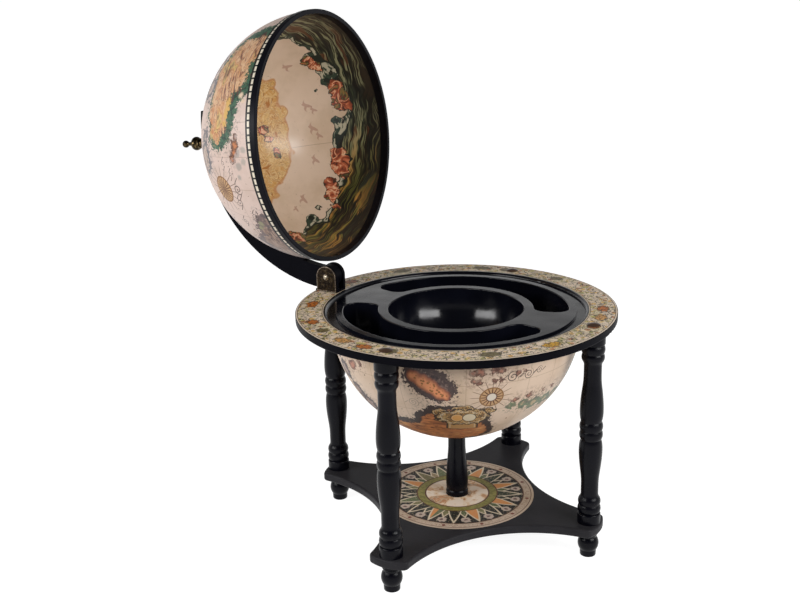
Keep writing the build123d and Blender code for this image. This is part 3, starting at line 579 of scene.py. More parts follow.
def print_ridges(c, field, colour):
    """Groups of thin engraved strokes inland, and rows of dots, where a mapmaker draws hills."""
    strokes = streaks(c, c.shake(c.unit, 5.0, 0.05), c.polar, 4.2, 0.55, 2.0, 0.6)
    groups = c.smooth(c.noise(c.unit, 6.0, 2.0), 0.45, 0.53)
    inland = c.smooth(field, 0.05, 0.08)
    c.lay(colour, inland, groups, c.line(strokes, 0.5, 0.026, 0.03), 0.8)
    dots, _, _ = c.cells(c.unit, 52.0)
    rows = c.smooth(streaks(c, c.unit, c.polar, 8.0, 0.3), 0.52, 0.56)
    c.lay(BROWN, inland, rows, c.within(dots, 0.2, 0.12), 0.8)


# %% [markdown]
# ## Compass rose and curls
# A many-spoked rose fills an empty stretch of sea on most old maps.  Round a chosen point the nodes work out
# the distance and the turn.  Spokes come from folding the turn into equal parts, and rings from the distance.
# A curl is a spiral, which is the distance less the turn, folded.

# %% Compass rose and curls
def tangent_place(c, azimuth, polar):
    """Millimetres east of a point of the globe and towards its pole, and a mask of that side."""
    out = np.array(heading(azimuth, polar))
    east = np.array((-sin(radians(azimuth)), cos(radians(azimuth)), 0.0))
    ahead, a, b = (c.vector("DOT_PRODUCT", c.unit, tuple(axis.tolist())) for axis in (out, east, np.cross(out, east)))
    return a * GLOBE_RADIUS, b * GLOBE_RADIUS, c.smooth(ahead, 0.5, 0.51)


def print_rose(c, azimuth, polar, radius, spokes, boss=0):
    """A compass rose: tan disc, tapering spokes, rings, thin rays outside, and a pale boss if it has a size."""
    a, b, face = tangent_place(c, azimuth, polar)
    share = c.length(a, b) / radius
    turn = c.turn(a, b)
    taper = c.fold(turn * (spokes / tau)) + share * 0.36
    spoke = c.inside(c.within(taper, 0.4, 0.06), c.within(share, 0.9, 0.03))
    ray = c.inside(c.within(c.fold(turn * (16 / tau)) * share, 0.04, 0.05), c.within(share, 1.55, 0.3), 0.85)
    c.lay(BROWN, face, ray)
    c.lay(ink(182, 144, 102), face, c.within(share, 0.98, 0.02))
    c.lay(ink(96, 58, 34), face, spoke)
    c.lay(ink(132, 92, 50), face, c.line(share, 0.95, 0.04, 0.03))
    if boss:
        c.lay(ink(212, 200, 184), face, c.within(share, boss, 0.03))
        c.lay(BROWN, face, c.line(share, boss, 0.03, 0.03))


def print_curl(c, azimuth, polar, pitch, turns, hand=1, strength=0.9):
    """An engraver's curl: a spiral line that winds out from a point, with a wavy tail on both sides."""
    a, b, face = tangent_place(c, azimuth, polar)
    distance = c.length(a, b)
    wound = c.fold(distance / pitch - c.turn(a, b) * (hand / tau))
    curl = c.inside(face, c.within(wound, 0.11, 0.07), c.within(distance, pitch * turns, 0.4), strength)
    tail = b - c.math("SINE", a / (pitch * 0.8)) * (pitch * 0.7)
    sweep = c.inside(face, c.within(abs(a), pitch * 3.4, 0.4), c.within(abs(tail), 0.5, 0.4),
                     c.smooth(distance, pitch * turns - 0.4, pitch * turns), strength)
    c.lay(ink(58, 44, 40), c.math("MAXIMUM", curl, sweep))


# %% [markdown]
# ## The lid's map
# On the lid the left side is one big orange and yellow land with a blue-green belt, and the sea below it
# holds a rose and a few curls.  The land is the author's own, with no real country in it.  Inland the tint
# wanders between peach, orange and yellow.

# %% Lid map
PEACH = ink(204, 166, 130)
ORANGE = ink(184, 116, 74)
YELLOW = ink(206, 166, 92)
TEAL = ink(64, 98, 76)
INK_BLUE = ink(84, 88, 90)


def lid_print():
    """The outside of the lid."""
    c = Paper("lid_paper")
    c.wrap(LID_CENTRE, LID_TURNED)
    c.ground()
    print_grid(c)
    print_specks(c, 12.0, 0.2, ORANGE, 0.1)
    print_specks(c, 34.0, 0.2, BROWN, 0.16)
    dotted = c.smooth(land(c, [(178, 66, 0.16), (172, 72, 0.1), (150, 70, 0.16)]), 0.0, 0.02)
    print_specks(c, 27.0, 0.22, BLACK, 0.45, dotted)
    c.lay(ink(134, 134, 128), patch(c, [(-173, 79, 0.035), (-178, 80, 0.04), (176, 80, 0.04), (171, 79, 0.03)], 0.6))
    muted = land(c, [(149, 84, 0.09), (141, 82, 0.13), (132, 80, 0.17), (122, 82, 0.19), (108, 76, 0.16)])
    tint = inland_tint(c, 7.0, (0.34, 104, 84, 80), (0.46, 164, 138, 122), (0.54, 124, 98, 84), (0.64, 182, 154, 132))
    print_coast(c, muted, ink(112, 92, 88), tint, ink(84, 76, 78))
    print_ridges(c, muted, ink(70, 54, 54))
    c.lay(ink(146, 142, 108), patch(c, [(147, 80.6, 0.035), (144, 79, 0.03)], 0.8))
    mainland = land(c, [
        (-130, 84, 0.27), (-132, 77, 0.27), (-140, 75, 0.3), (-152, 70, 0.24), (-160, 69, 0.215), (-167, 66, 0.14),
        (-171, 63, 0.07), (-66, 72, 0.26), (-40, 60, 0.26), (-20, 74, 0.2), (60, 66, 0.34), (40, 78, 0.26),
        (84, 50, 0.2), (10, 40, 0.16)])
    tint = inland_tint(
        c, 3.4, (0.36, 214, 184, 156), (0.43, 198, 150, 112), (0.46, 214, 180, 144), (0.49, 180, 128, 96),
        (0.51, 208, 166, 126), (0.54, 184, 126, 84), (0.56, 208, 178, 118), (0.60, 146, 118, 86), (0.66, 200, 160, 126))
    tint = c.over(tint, YELLOW, patch(c, [(-155, 75, 0.05), (-160, 74.5, 0.055), (-165, 72.5, 0.035)], 0.9))
    tint = c.over(tint, ORANGE, patch(c, [(-157, 61, 0.03), (-163, 61, 0.035), (-168, 62, 0.03)], 0.8))
    print_coast(c, mainland, TEAL, tint, ink(40, 60, 50), c.smooth(c.polar, 58.0, 84.0, 0.0, 0.13))
    print_ridges(c, mainland, ink(92, 50, 50))
    c.lay(ink(214, 190, 164), patch(c, [(-153, 82.5, 0.034), (-156, 84.5, 0.028)]))
    c.lay(ink(146, 144, 134), patch(c, [(-177, 83.5, 0.035), (178, 83, 0.035)], 0.6))
    isles = land(c, [(-174.5, 79, 0.036), (-177.5, 78, 0.03), (179, 76.5, 0.032), (-171, 80, 0.02)], 0.02, 0.02)
    print_coast(c, isles, BROWN, ORANGE, ink(170, 150, 142), 0.004, 0.004, 0.06)
    print_rose(c, 163.5, 64.5, 18, 20)
    for curl in ((177, 69, 2.6, 1.3, 1, 0.8), (172, 73, 2.4, 1.3, -1, 0.8), (165, 75.5, 4.6, 1.6),
                 (158, 73.5, 3.4, 1.6, -1), (151, 79.5, 3.2, 1.6), (146, 70.5, 3.0, 1.6, -1)):
        print_curl(c, *curl)
    print_rose(c, 20, 60, 17, 16)
    far_isles = land(c, [(128, 52, 0.07), (122, 47, 0.05), (112, 60, 0.06), (150, 42, 0.05), (0, 82, 0.07),
                         (12, 80, 0.05)], 0.05, 0.03)
    print_coast(c, far_isles, TEAL, PEACH, ink(150, 132, 126), 0.02)
    print_curl(c, 138, 58, 4.0, 1.8)
    print_curl(c, 20, 74, 4.0, 1.8, -1)
    # Grey ragged patches with dark belts and ridge strokes round the pole and part way down from it, darker than the
    # paper there.
    grey_pole_patches = land(c, [
        (40, 14, 0.10), (150, 10, 0.13), (-100, 14, 0.14), (-165, 17, 0.10), (-116, 37, 0.12), (-136, 42, 0.09),
        (-60, 40, 0.08), (60, 36, 0.07), (178, 51, 0.11), (-171, 52, 0.06), (-142, 52, 0.10), (-124, 54, 0.10)],
        0.08, 0.05)
    print_coast(c, grey_pole_patches, ink(112, 108, 110), ink(186, 164, 150), ink(96, 90, 94), 0.03, 0.01)
    print_ridges(c, grey_pole_patches, ink(104, 90, 88))
    print_curl(c, -84, 32, 4.0, 1.8)
    return c.dry()


coat(lid_print(), "lid_map")

# %% [markdown]
# ## Cartouche
# Old maps carry their title in a gilt frame.  This one stays blank.  Each part is an oval or a rectangle
# shaken by noise, and the parts are laid one over the next, each as a dark edge, a fill and a thin line.

# %% Cartouche
def print_cartouche(c, azimuth, polar):
    """A framed ornament with no words in it: gold oval with two roundels, and a blank panel under it."""
    a, b, face = tangent_place(c, azimuth, polar)
    gold = c.ramp(c.noise(c.unit, 30.0, 3.0, 0.7),
                  [(0.35, 112, 78, 40), (0.48, 172, 128, 70), (0.56, 200, 168, 112), (0.66, 140, 98, 52)])
    gold = c.over(gold, ink(48, 34, 24), c.line(c.noise(c.unit, 40.0, 2.0, 0.6), 0.5, 0.03, 0.03), 0.8)
    dark, pale = ink(44, 32, 24), ink(206, 190, 160)
    wavy = (c.noise(c.unit, 20.0, 3.0, 0.6) - 0.5) * 0.9
    crown_middle, panel_middle = -17.0, 21.0
    crown = c.oval(a, b - crown_middle, 15.0, 7.0) + wavy
    panel = c.math("MAXIMUM", abs(a / 19.0), abs((b - panel_middle) / 7.0))
    wings = c.oval(abs(a) - 27.0, b + 9.0, 13.0, 8.0) + wavy
    rim = c.oval(a, b, 34.0, 17.0) + wavy
    left, right = c.oval(a + 7.0, b, 8.0, 8.0), c.oval(a - 8.0, b, 8.5, 8.5)
    for share, fill in ((crown, gold), (panel, ink(172, 128, 76)), (wings, gold), (rim, gold),
                        (left, ink(196, 142, 74)), (right, pale)):
        c.lay(dark, face, c.within(share, 1.02, 0.03))
        c.lay(fill, face, c.within(share, 0.9, 0.03))
        c.lay(pale, face, c.line(share, 0.8, 0.015, 0.03), 0.7)


# %% [markdown]
# ## The lower half's map
# Below the ring the sheet is paler: an orange island ringed by dark hachures, a long orange shore near the
# bottom, a second rose and the cartouche.  It is drawn with the lid's calls.

# %% Lower map
def lower_print():
    """The outside of the lower half globe."""
    c = Paper("globe_paper")
    c.wrap(GLOBE_CENTRE, HANGING)
    c.ground(ink(212, 188, 166), ink(186, 160, 132))
    print_grid(c)
    print_specks(c, 13.0, 0.2, ink(150, 88, 70), 0.12)
    print_specks(c, 36.0, 0.2, BROWN, 0.14)
    print_specks(c, 22.0, 0.24, ink(96, 70, 56), 0.6,
                 c.smooth(land(c, [(160, 76, 0.07), (158, 70, 0.06), (163, 66, 0.05)], 0.02, 0.02), 0.0, 0.02))
    far = land(c, [(-72, 68, 0.16), (-30, 70, 0.3), (0, 60, 0.26), (50, 76, 0.2), (90, 60, 0.3), (120, 70, 0.16)])
    tint = inland_tint(c, 3.0, (0.38, PEACH), (0.46, 196, 156, 112), (0.52, 150, 104, 78), (0.58, 204, 170, 132),
                       (0.66, ORANGE))
    print_coast(c, far, TEAL, tint, INK_BLUE)
    print_ridges(c, far, ink(112, 62, 62))
    green = land(c, [(-126, 60.5, 0.035), (-119, 60, 0.045), (-111, 59, 0.055), (-102, 58, 0.06), (-93, 58, 0.07)],
                 0.05, 0.02)
    print_coast(c, green, ink(104, 116, 88), ink(172, 152, 118), ink(92, 92, 80), 0.02, 0.004, 0.08)
    shore = land(c, [(170, 32, 0.30), (-178, 34, 0.30), (-170, 40, 0.22), (-161, 48.5, 0.24), (-157, 43, 0.28),
                     (180, 16, 0.34)], 0.08, 0.05)
    tint = inland_tint(c, 5.0, (0.36, 140, 84, 52), (0.46, 196, 124, 74), (0.53, 160, 98, 58), (0.62, 206, 150, 98))
    print_coast(c, shore, ink(52, 38, 34), tint, ink(44, 34, 32), 0.035, 0.02, 0.09)
    print_ridges(c, shore, ink(92, 52, 36))
    halo = land(c, [(-166, 76, 0.14), (-171.5, 79.5, 0.10), (-160.5, 72.5, 0.10)], 0.03, 0.04)
    smoke = c.ramp(c.noise(c.unit, 26.0, 4.0, 0.7), [(0.36, 46, 34, 34), (0.5, 74, 56, 52), (0.62, 128, 106, 96)])
    print_coast(c, halo, ink(74, 58, 54), smoke, ink(64, 50, 48), 0.03, 0.012)
    heart = land(c, [(-173, 79.5, 0.05), (-169, 77, 0.064), (-165.5, 74.3, 0.068), (-162, 71.5, 0.06),
                     (-159, 69.6, 0.04)], 0.03, 0.03)
    glow = c.over(ink(146, 84, 62), ink(222, 146, 98), c.smooth(heart, 0.0, 0.035))
    dots, _, _ = c.cells(c.unit, 38.0)
    glow = c.over(glow, ink(126, 84, 40), c.within(dots, 0.3, 0.12), c.smooth(heart, 0.012, 0.03), 0.9)
    c.lay(glow, c.smooth(heart, -0.012, 0.012))
    # Painted shade: a grey-brown coast on the left, just below the ring, darkens the paper where the ring shades it.
    painted_shade_under_ring = land(c, [(147, 62, 0.075), (151, 55, 0.09), (142, 71, 0.075), (138, 80, 0.06)], 0.06, 0.02)
    print_coast(c, painted_shade_under_ring, ink(74, 58, 56), ink(146, 122, 112), ink(50, 40, 40), 0.03, 0.004, 0.1)
    reds = land(c, [
        (-147, 81, 0.024), (-143.5, 81.4, 0.03), (-138, 82, 0.024), (-134.5, 82, 0.026), (-146.5, 77, 0.018),
        (-144, 76.8, 0.018), (-137.5, 77, 0.018), (-134.5, 77, 0.018), (-127, 79, 0.018), (-124, 79.2, 0.016),
        (-125, 64, 0.024), (-117, 64.8, 0.028), (-101, 65.5, 0.026), (-108, 66, 0.02), (152, 77, 0.045),
        (158, 79, 0.02)], 0.02, 0.03)
    print_coast(c, reds, ink(98, 66, 54), ink(178, 122, 100), ink(150, 124, 108), 0.006, 0.002, 0.06)
    print_rose(c, -138, 68, 15.5, 16, 0.42)
    print_cartouche(c, -151, 55.5)
    for curl in ((-129, 77.5, 4.4, 1.8), (-121, 77.5, 3.6, 2.0, -1), (-115, 78, 2.8, 1.8),
                 (-175, 64.7, 3.4, 2.2, 1, 0.4)):
        print_curl(c, *curl)
    return c.dry()


coat(lower_print(), "lower_map")

# %% [markdown]
# ## The lid's lining
# Inside the lid is a painted sky: golden clouds round the pole, a pale sky about them, and rolling dark
# waves towards the rim, with small bright ornaments where sky and waves meet.  It is an invented scene, and
# the only living things in it are plain bird shapes.  Clouds and waves are both bands of the angle from the
# pole, bent by noise.

# %% Clouds and waves
def print_cloud(c, wander):
    """Golden billows round the pole, with rounded lobes at the edge and soft orange folds."""
    puff, _, _ = c.cells(c.shake(c.unit, 6.0, 0.05, 3.0), 8.0, "SMOOTH_F1")
    reach = c.polar + (wander * 8.0 + puff * 9.0)
    folds = c.noise(c.shake(c.unit, 5.0, 0.06), 7.0, 4.0, 0.6, 1.6)
    gold = c.ramp(folds * 0.75 + puff * 0.3, [
        (0.36, 228, 190, 126), (0.43, 212, 164, 92), (0.48, 230, 196, 138), (0.53, 204, 146, 74),
        (0.57, 230, 196, 138), (0.66, 178, 112, 46)])
    mask = c.within(reach, 41.0, 1.2)
    c.lay(gold, mask)
    creases = c.math("MAXIMUM", c.line(folds, 0.52, 0.003, 0.012), c.line(folds, 0.43, 0.003, 0.01))
    c.lay(ink(150, 92, 50), creases, mask, 0.75)
    c.lay(ink(196, 136, 88), c.line(reach, 41.2, 0.2, 0.9), 0.7)


def print_waves(c, wander):
    """Rolling bands that run round the lid: noise drawn out along the rim, in many inks."""
    lean = c.vector("DOT_PRODUCT", c.unit, (-0.4, 0.8, 0.0))
    bent = c.polar + (lean * 9.0 + (c.noise(c.unit, 3.2, 2.0) - 0.5) * 11.0)

    def band(*settings):
        return streaks(c, c.unit, bent, *settings)

    deep = band(1.1, 0.2, 2.0, 0.55, 0.3)
    crest = band(1.7, 0.3, 3.0, 0.55, 0.3)
    strands = band(1.5, 0.42, 2.0, 0.5, 0.3)
    crested = c.smooth(band(2.4, 0.12, 2.0), 0.46, 0.54)
    open_water = c.smooth(band(1.8, 0.1, 2.0), 0.44, 0.52)
    russet = c.smooth(band(2.0, 0.16, 2.0, 0.5, 0.2), 0.63, 0.67)
    sunny = c.smooth(c.vector("DOT_PRODUCT", c.unit, (0.3, 0.8, 0.0)), 0.25, 0.7)
    lit = c.over(ink(156, 156, 118), c.ramp(deep, [(0.42, 136, 128, 58), (0.5, 206, 148, 70), (0.58, 92, 92, 40)]),
                 sunny)
    inks = c.ramp(deep, [(0.34, 13, 13, 11), (0.44, 50, 56, 44), (0.48, 17, 19, 15), (0.53, 62, 70, 48),
                         (0.56, 18, 17, 12), (0.63, 58, 46, 28), (0.70, 16, 14, 10)])
    for colour, *masks in ((lit, crested, c.line(crest, 0.5, 0.026, 0.03), 0.95),
                           (lit, sunny, crested, c.smooth(crest, 0.54, 0.57), 0.55),
                           (ink(12, 12, 9), c.line(strands, 0.46, 0.025, 0.03), 0.8),
                           (lit, c.line(strands, 0.54, 0.014, 0.02), open_water, 0.85),
                           (ink(122, 70, 40), russet, 0.45),
                           (ink(13, 11, 9), c.smooth(c.polar, 76.0, 89.0, 0.0, 0.7))):
        inks = c.over(inks, colour, *masks)
    lobes, _, _ = c.cells(c.shake(c.unit, 6.0, 0.06, 3.0), 6.5, "SMOOTH_F1")
    x, _, _ = c.split(c.unit)
    edge = c.polar + (11.0 - x * 12.0) + (wander * 14.0 + (0.45 - lobes) * 20.0)
    foam = c.over(ink(192, 184, 158), ink(52, 66, 52), c.smooth(band(9.0, 0.35, 2.0, 0.6, 0.8), 0.45, 0.5))
    for start, colour in ((66.0, ink(34, 36, 28)), (66.6, foam), (68.8, ink(34, 40, 32)), (70.4, inks)):
        c.lay(colour, c.smooth(edge, start, start + 0.4))


# %% [markdown]
# ## Birds and sprays
# A bird is two wings that follow a sine and a slanting oval body, small enough to read as a brush stroke.
# The bright ornaments are blobs, as the coasts are, filled with folds of one noise in many inks.

# %% Birds, sprays and the whole lining
def print_birds(c, places, colour):
    """Small soft birds: two wings that bend down and thin out from a slanting body."""
    for azimuth, polar, size in places:
        a, b, face = tangent_place(c, azimuth, polar)
        out = abs(a) / size
        rise = b / size - c.math("SINE", out * 3.4) * 0.3
        wing = c.smooth((1.0 - out) * 0.32 - abs(rise), 0.0, 0.12)
        body = c.within(c.oval(a + b * 0.5, b, size * 0.22, size * 0.6), 0.9, 0.2)
        c.lay(colour, face, c.math("MAXIMUM", wing, body), 0.5)


def print_sprays(c, field):
    """Swirling folds of red, salmon and cream, like blown cloth, with dark creases."""
    cloth = c.ramp(c.noise(c.shake(c.unit, 5.0, 0.06), 8.0, 3.0, 0.5, 1.1), [
        (0.34, 58, 44, 32), (0.41, 164, 78, 50), (0.455, 214, 124, 84), (0.485, 238, 200, 158), (0.51, 204, 108, 72),
        (0.55, 122, 54, 38), (0.58, 64, 58, 40), (0.63, 128, 116, 66), (0.7, 196, 96, 62)])
    c.lay(ink(52, 44, 34), c.smooth(field, -0.006, -0.001))
    c.lay(cloth, c.smooth(field, 0.0, 0.006))


def lining_print():
    """The inside of the lid: clouds, sky and waves."""
    c = Paper("lining_paper", 0.5)
    c.wrap(LID_CENTRE, LID_TURNED)
    c.ground(ink(226, 199, 174), ink(206, 178, 148))
    wander = c.noise(c.unit, 2.4, 3.0, 0.6) - 0.5
    seam = c.vector("DOT_PRODUCT", c.unit, (0.0, 1.0, 0.0))
    c.lay(SEPIA, c.line(seam, 0.16, 0.0012, 0.002), 0.5)
    print_cloud(c, wander)
    print_birds(c, [(-48, 50, 12.0), (-15, 50, 12.0), (-11, 53, 9.0), (1, 51, 12.0), (6, 54, 9.0), (22, 52, 11.0),
                    (52, 51, 12.0), (62, 50, 8.0), (98, 52, 12.0), (130, 50, 10.0), (170, 53, 12.0),
                    (200, 50, 10.0), (240, 52, 11.0), (285, 51, 10.0)], ink(156, 94, 78))
    print_waves(c, wander)
    print_sprays(c, land(c, [
        (-43, 60, 0.055), (-37, 62, 0.06), (-22, 66, 0.075), (-16, 68, 0.085), (-11, 70, 0.05), (17, 64, 0.07),
        (23, 66, 0.085), (29, 68, 0.05), (36, 61, 0.07), (43, 63, 0.06), (50, 66, 0.04), (84, 62, 0.08),
        (112, 64, 0.08), (150, 63, 0.09), (196, 62, 0.08), (228, 64, 0.09), (264, 63, 0.08), (-4, 24, 0.05),
        (8, 27, 0.035), (22, 31, 0.04)], 0.08, 0.06))
    return c.dry()


coat(lining_print(), "lid_lining")

# %% [markdown]
# ## Chequered strip
# A narrow printed strip hides the joint between the lid's band and its map.  It is black with a row of cream
# dashes.  The angle round the lid, cut into equal parts, gives the dashes, and the height above the lid's
# edge gives the row.

# %% Chequered strip
DASHES = 116
ROW_MIDDLE, ROW_HALF = 7.5, 1.6         # above the lid's edge, in millimetres


def strip_print():
    """The row of dashes round the lid."""
    c = Paper("strip_paper")
    x, y, z = c.local(LID_CENTRE, LID_TURNED)
    place = c.math("FRACT", c.turn(x, y) * (DASHES / tau))
    return c.finish(c.over(BLACK, ink(222, 212, 192), c.line(place, 0.5, 0.36, 0.03),
                           c.line(z, ROW_MIDDLE, ROW_HALF, 0.15)))


coat(strip_print(), "chequer_strip")

# %% [markdown]
# ## The ring's paper
# The wide ring carries a frieze of fine scrolls between two thin lines, broken by coloured medallions.
# Scattered cell centres each wind up a spiral, which packs the frieze with curls of different sizes, and
# leaves come from a finer set of cells.  The ring is cut into sectors, and a random pick for each says
# whether it has a medallion, how long it is and which ink fills it.

# %% Ring paper
SECTORS = 30
RING_MIDDLE = 191.0     # radii of the frieze, in millimetres
FRIEZE_INNER, FRIEZE_OUTER = 175.2, 206.6
RING_LINES = (175.0, 207.2)
RING_EDGE = 207.6


def print_scrolls(c, flat, frieze):
    """Leaves, squiggles and spirals from noise and scattered cells, inside a mask."""
    bent = c.shake(flat, 0.09, 4.0)
    leaf, random, _ = c.cells(bent, 0.14)
    _, hue, picked = c.split(random)
    tint = c.ramp(hue, [(0.0, 182, 168, 86), (0.3, 214, 168, 84), (0.5, 184, 120, 70), (0.65, 146, 142, 82),
                        (0.85, 220, 184, 116)], "CONSTANT")
    c.lay(tint, frieze, c.within(picked, 0.62, 0.02), c.within(leaf, 0.44, 0.1), 0.9)
    c.lay(ink(44, 30, 18), frieze, c.line(c.noise(bent, 0.10, 3.0, 0.6), 0.5, 0.012, 0.014), 0.95)
    _, _, centre = c.cells(bent, 0.055)
    x, y, _ = c.split(c.vector("SUBTRACT", bent, centre))
    wound = c.fold(c.length(x, y) * 0.17 - c.turn(x, y) / tau)
    vine = c.inside(c.within(wound, 0.1, 0.06), c.smooth(c.noise(flat, 0.12, 2.0), 0.53, 0.57))
    c.lay(ink(40, 30, 18), frieze, vine, 0.95)


def random_pick(c, number):
    """Random number and random colour for a whole number."""
    return c.add("ShaderNodeTexWhiteNoise", {"W": number}, noise_dimensions="1D").outputs


def print_medallions(c, flat, radius, turn):
    """Ragged coloured ornaments, one in some of the sectors round the ring."""
    part = turn * (SECTORS / tau) + 0.25
    which, colour = random_pick(c, c.math("FLOOR", part))
    shift, stretch, chosen = c.split(colour)
    along = (c.math("FRACT", part) - c.smooth(shift, 0.0, 1.0, 0.38, 0.62)) * (tau * RING_MIDDLE / SECTORS)
    oval = c.oval(along, radius - RING_MIDDLE, c.smooth(stretch, 0.0, 1.0, 8.0, 15.0), 8.0)
    oval = oval + (c.noise(flat, 0.25, 4.0, 0.6) - 0.5) * 1.5
    fill = c.ramp(which, [(0.0, 112, 100, 60), (0.16, 210, 158, 34), (0.36, 192, 108, 36), (0.52, 126, 108, 70),
                          (0.64, 208, 154, 86), (0.8, 146, 90, 54)], "CONSTANT")
    fill = c.over(fill, ink(58, 42, 26), c.smooth(c.noise(flat, 0.3, 4.0, 0.65), 0.5, 0.56, 0.0, 0.85))
    used = c.within(chosen, 0.6, 0.01)
    c.lay(ink(60, 46, 30), used, c.smooth(oval, 0.96, 1.06, 1.0, 0.0))
    c.lay(fill, used, c.smooth(oval, 0.84, 0.9, 1.0, 0.0))


def ring_print():
    """The frieze of scrolls and medallions round the tray."""
    c = Paper("ring_paper")
    x, y, _ = c.local(GLOBE_CENTRE, UPRIGHT)
    radius = c.length(x, y)
    flat = c.join(x, y)
    c.ground(ink(224, 204, 180), ink(206, 186, 156))
    c.lay(ink(206, 192, 148), c.smooth(c.noise(flat, 0.03, 2.0), 0.5, 0.62, 0.0, 0.6))
    frieze = c.inside(c.smooth(radius, FRIEZE_INNER, FRIEZE_INNER + 0.4), c.within(radius, FRIEZE_OUTER, 0.4))
    print_scrolls(c, flat, frieze)
    print_medallions(c, flat, radius, c.turn(x, y))
    for at in RING_LINES:
        c.lay(ink(86, 64, 44), c.line(radius, at, 0.3, 0.3))
    c.lay(ink(226, 208, 186), c.smooth(radius, RING_EDGE, RING_EDGE + 0.2))
    return c.dry()


coat(ring_print(), "ring_map")

# %% [markdown]
# ## The shelf's disc
# The paper on the shelf is a star of many triangles round a plain circle, as on an old wind rose.  The turn
# is folded into equal parts, and a triangle is the place where the folded turn is less than what is left of
# the way out to its tip.

# %% Shelf disc
STAR_POINTS = 16
DISC_RADIUS = 105.0


def print_star(c, share, turn, foot, tip, shift, *inks):
    """Triangles pointing outwards, every other one from the first inks, with a wide pale outline."""
    part = turn * (STAR_POINTS / tau) + shift
    edge = (tip - share) / (tip - foot) - c.fold(part) * 1.7
    band = c.smooth(share, foot, foot + 0.01)
    count = c.math("ROUND", part)
    which, _ = random_pick(c, count)
    c.lay(ink(212, 196, 170), band, c.smooth(edge, -0.02, 0.0))
    c.lay(c.ramp((c.fold(count, 1.0) + which) * 0.5, inks, "CONSTANT"), band, c.smooth(edge, 0.11, 0.13))


def disc_print():
    """The wind-rose paper under the column."""
    c = Paper("shelf_paper")
    x, y, _ = c.local(GLOBE_CENTRE, UPRIGHT)
    share = c.length(x, y) / DISC_RADIUS
    turn = c.turn(x, y)
    flat = c.join(x, y)
    c.ground(ink(196, 176, 156), ink(172, 150, 124))
    zone = c.inside(c.smooth(share, 0.52, 0.53), c.within(share, 0.86, 0.005))
    c.lay(ink(30, 28, 27), zone)
    fold = c.fold(turn * (STAR_POINTS / tau) + 0.5)
    bud = c.oval(fold, share - 0.775, 0.24, 0.075) + c.noise(flat, 0.25, 2.0) * 0.9
    c.lay(ink(188, 170, 156), zone, c.within(bud, 1.2, 0.15))
    c.lay(ink(104, 78, 76), zone, c.within(bud, 0.72, 0.12))
    deep = (50, 56, 44)
    print_star(c, share, turn, 0.40, 0.72, 0.5,
               (0.0, 86, 96, 66), (0.3, *deep), (0.6, 116, 112, 76), (0.85, 150, 130, 96))
    print_star(c, share, turn, 0.38, 0.86, 0.0,
               (0.0, 204, 138, 82), (0.34, 96, 104, 72), (0.5, *deep), (0.66, 40, 40, 34), (0.84, 120, 112, 78))
    c.lay(ink(176, 160, 128), zone, c.smooth(c.noise(flat, 0.32, 3.0, 0.65), 0.56, 0.62), 0.55)
    olive = c.over(ink(142, 134, 74), ink(116, 110, 58), c.smooth(c.noise(flat, 0.2, 3.0), 0.4, 0.6))
    c.lay(olive, c.smooth(share, 0.42, 0.425), c.within(share, 0.52, 0.005))
    middle = c.ramp(c.noise(flat, 0.05, 4.0, 0.6, 0.8), [
        (0.44, 232, 214, 194), (0.52, 220, 190, 154), (0.57, 178, 118, 74), (0.6, 204, 178, 146), (0.66, 120, 84, 60)])
    c.lay(middle, c.within(share, 0.405, 0.005))
    for at, wide in ((0.415, 0.008), (0.525, 0.006), (0.865, 0.005), (0.965, 0.003)):
        c.lay(BROWN, c.line(share, at, wide, 0.004))
    flourishes = c.line(c.noise(flat, 0.2, 2.0), 0.5, 0.015, 0.02)
    c.lay(ink(136, 104, 86), flourishes, c.line(share, 0.915, 0.035, 0.005), 0.7)
    marks = c.oval(c.math("FRACT", turn * (12 / tau)) - 0.5, share - 0.918, 0.05, 0.024)
    c.lay(ink(112, 56, 46), c.within(marks, 0.8, 0.3))
    return c.dry()


coat(disc_print(), "shelf_map")

# %% [markdown]
# ## Floor and world
# The studio is a pale floor that runs out of view, and a world round it.  The camera sees both white.
# Reflections see the same white floor, and a world that is white low down behind the object and dimmer
# overhead and behind the camera, as a room is.  The light that both give to the object stays moderate.

# %% Floor and world
FLOOR_HALF = 30.0       # half the floor's side, in metres
FLOOR_LIT = 0.8         # share of the light the floor gives back to the object
FLOOR_SEEN = 0.35       # share of it that is seen, which keeps a faint shadow
FLOOR_GLOW = 0.93       # what lifts the seen floor to white
SKY_SIDES, SKY_OVERHEAD = 0.09, 0.3
BEHIND = (0.88, 0.48, 0.0)      # the way the camera looks


def ray_switch(tree, usual, special, first, *others):
    """Mix two shaders by the kind of ray: the special one is for the kinds named."""
    rays = tree.add("ShaderNodeLightPath").outputs
    seen = rays[first]
    for other in others:
        seen = tree.math("MAXIMUM", seen, rays[other])
    return tree.add("ShaderNodeMixShader", enumerate((seen, usual, special))).outputs[0]


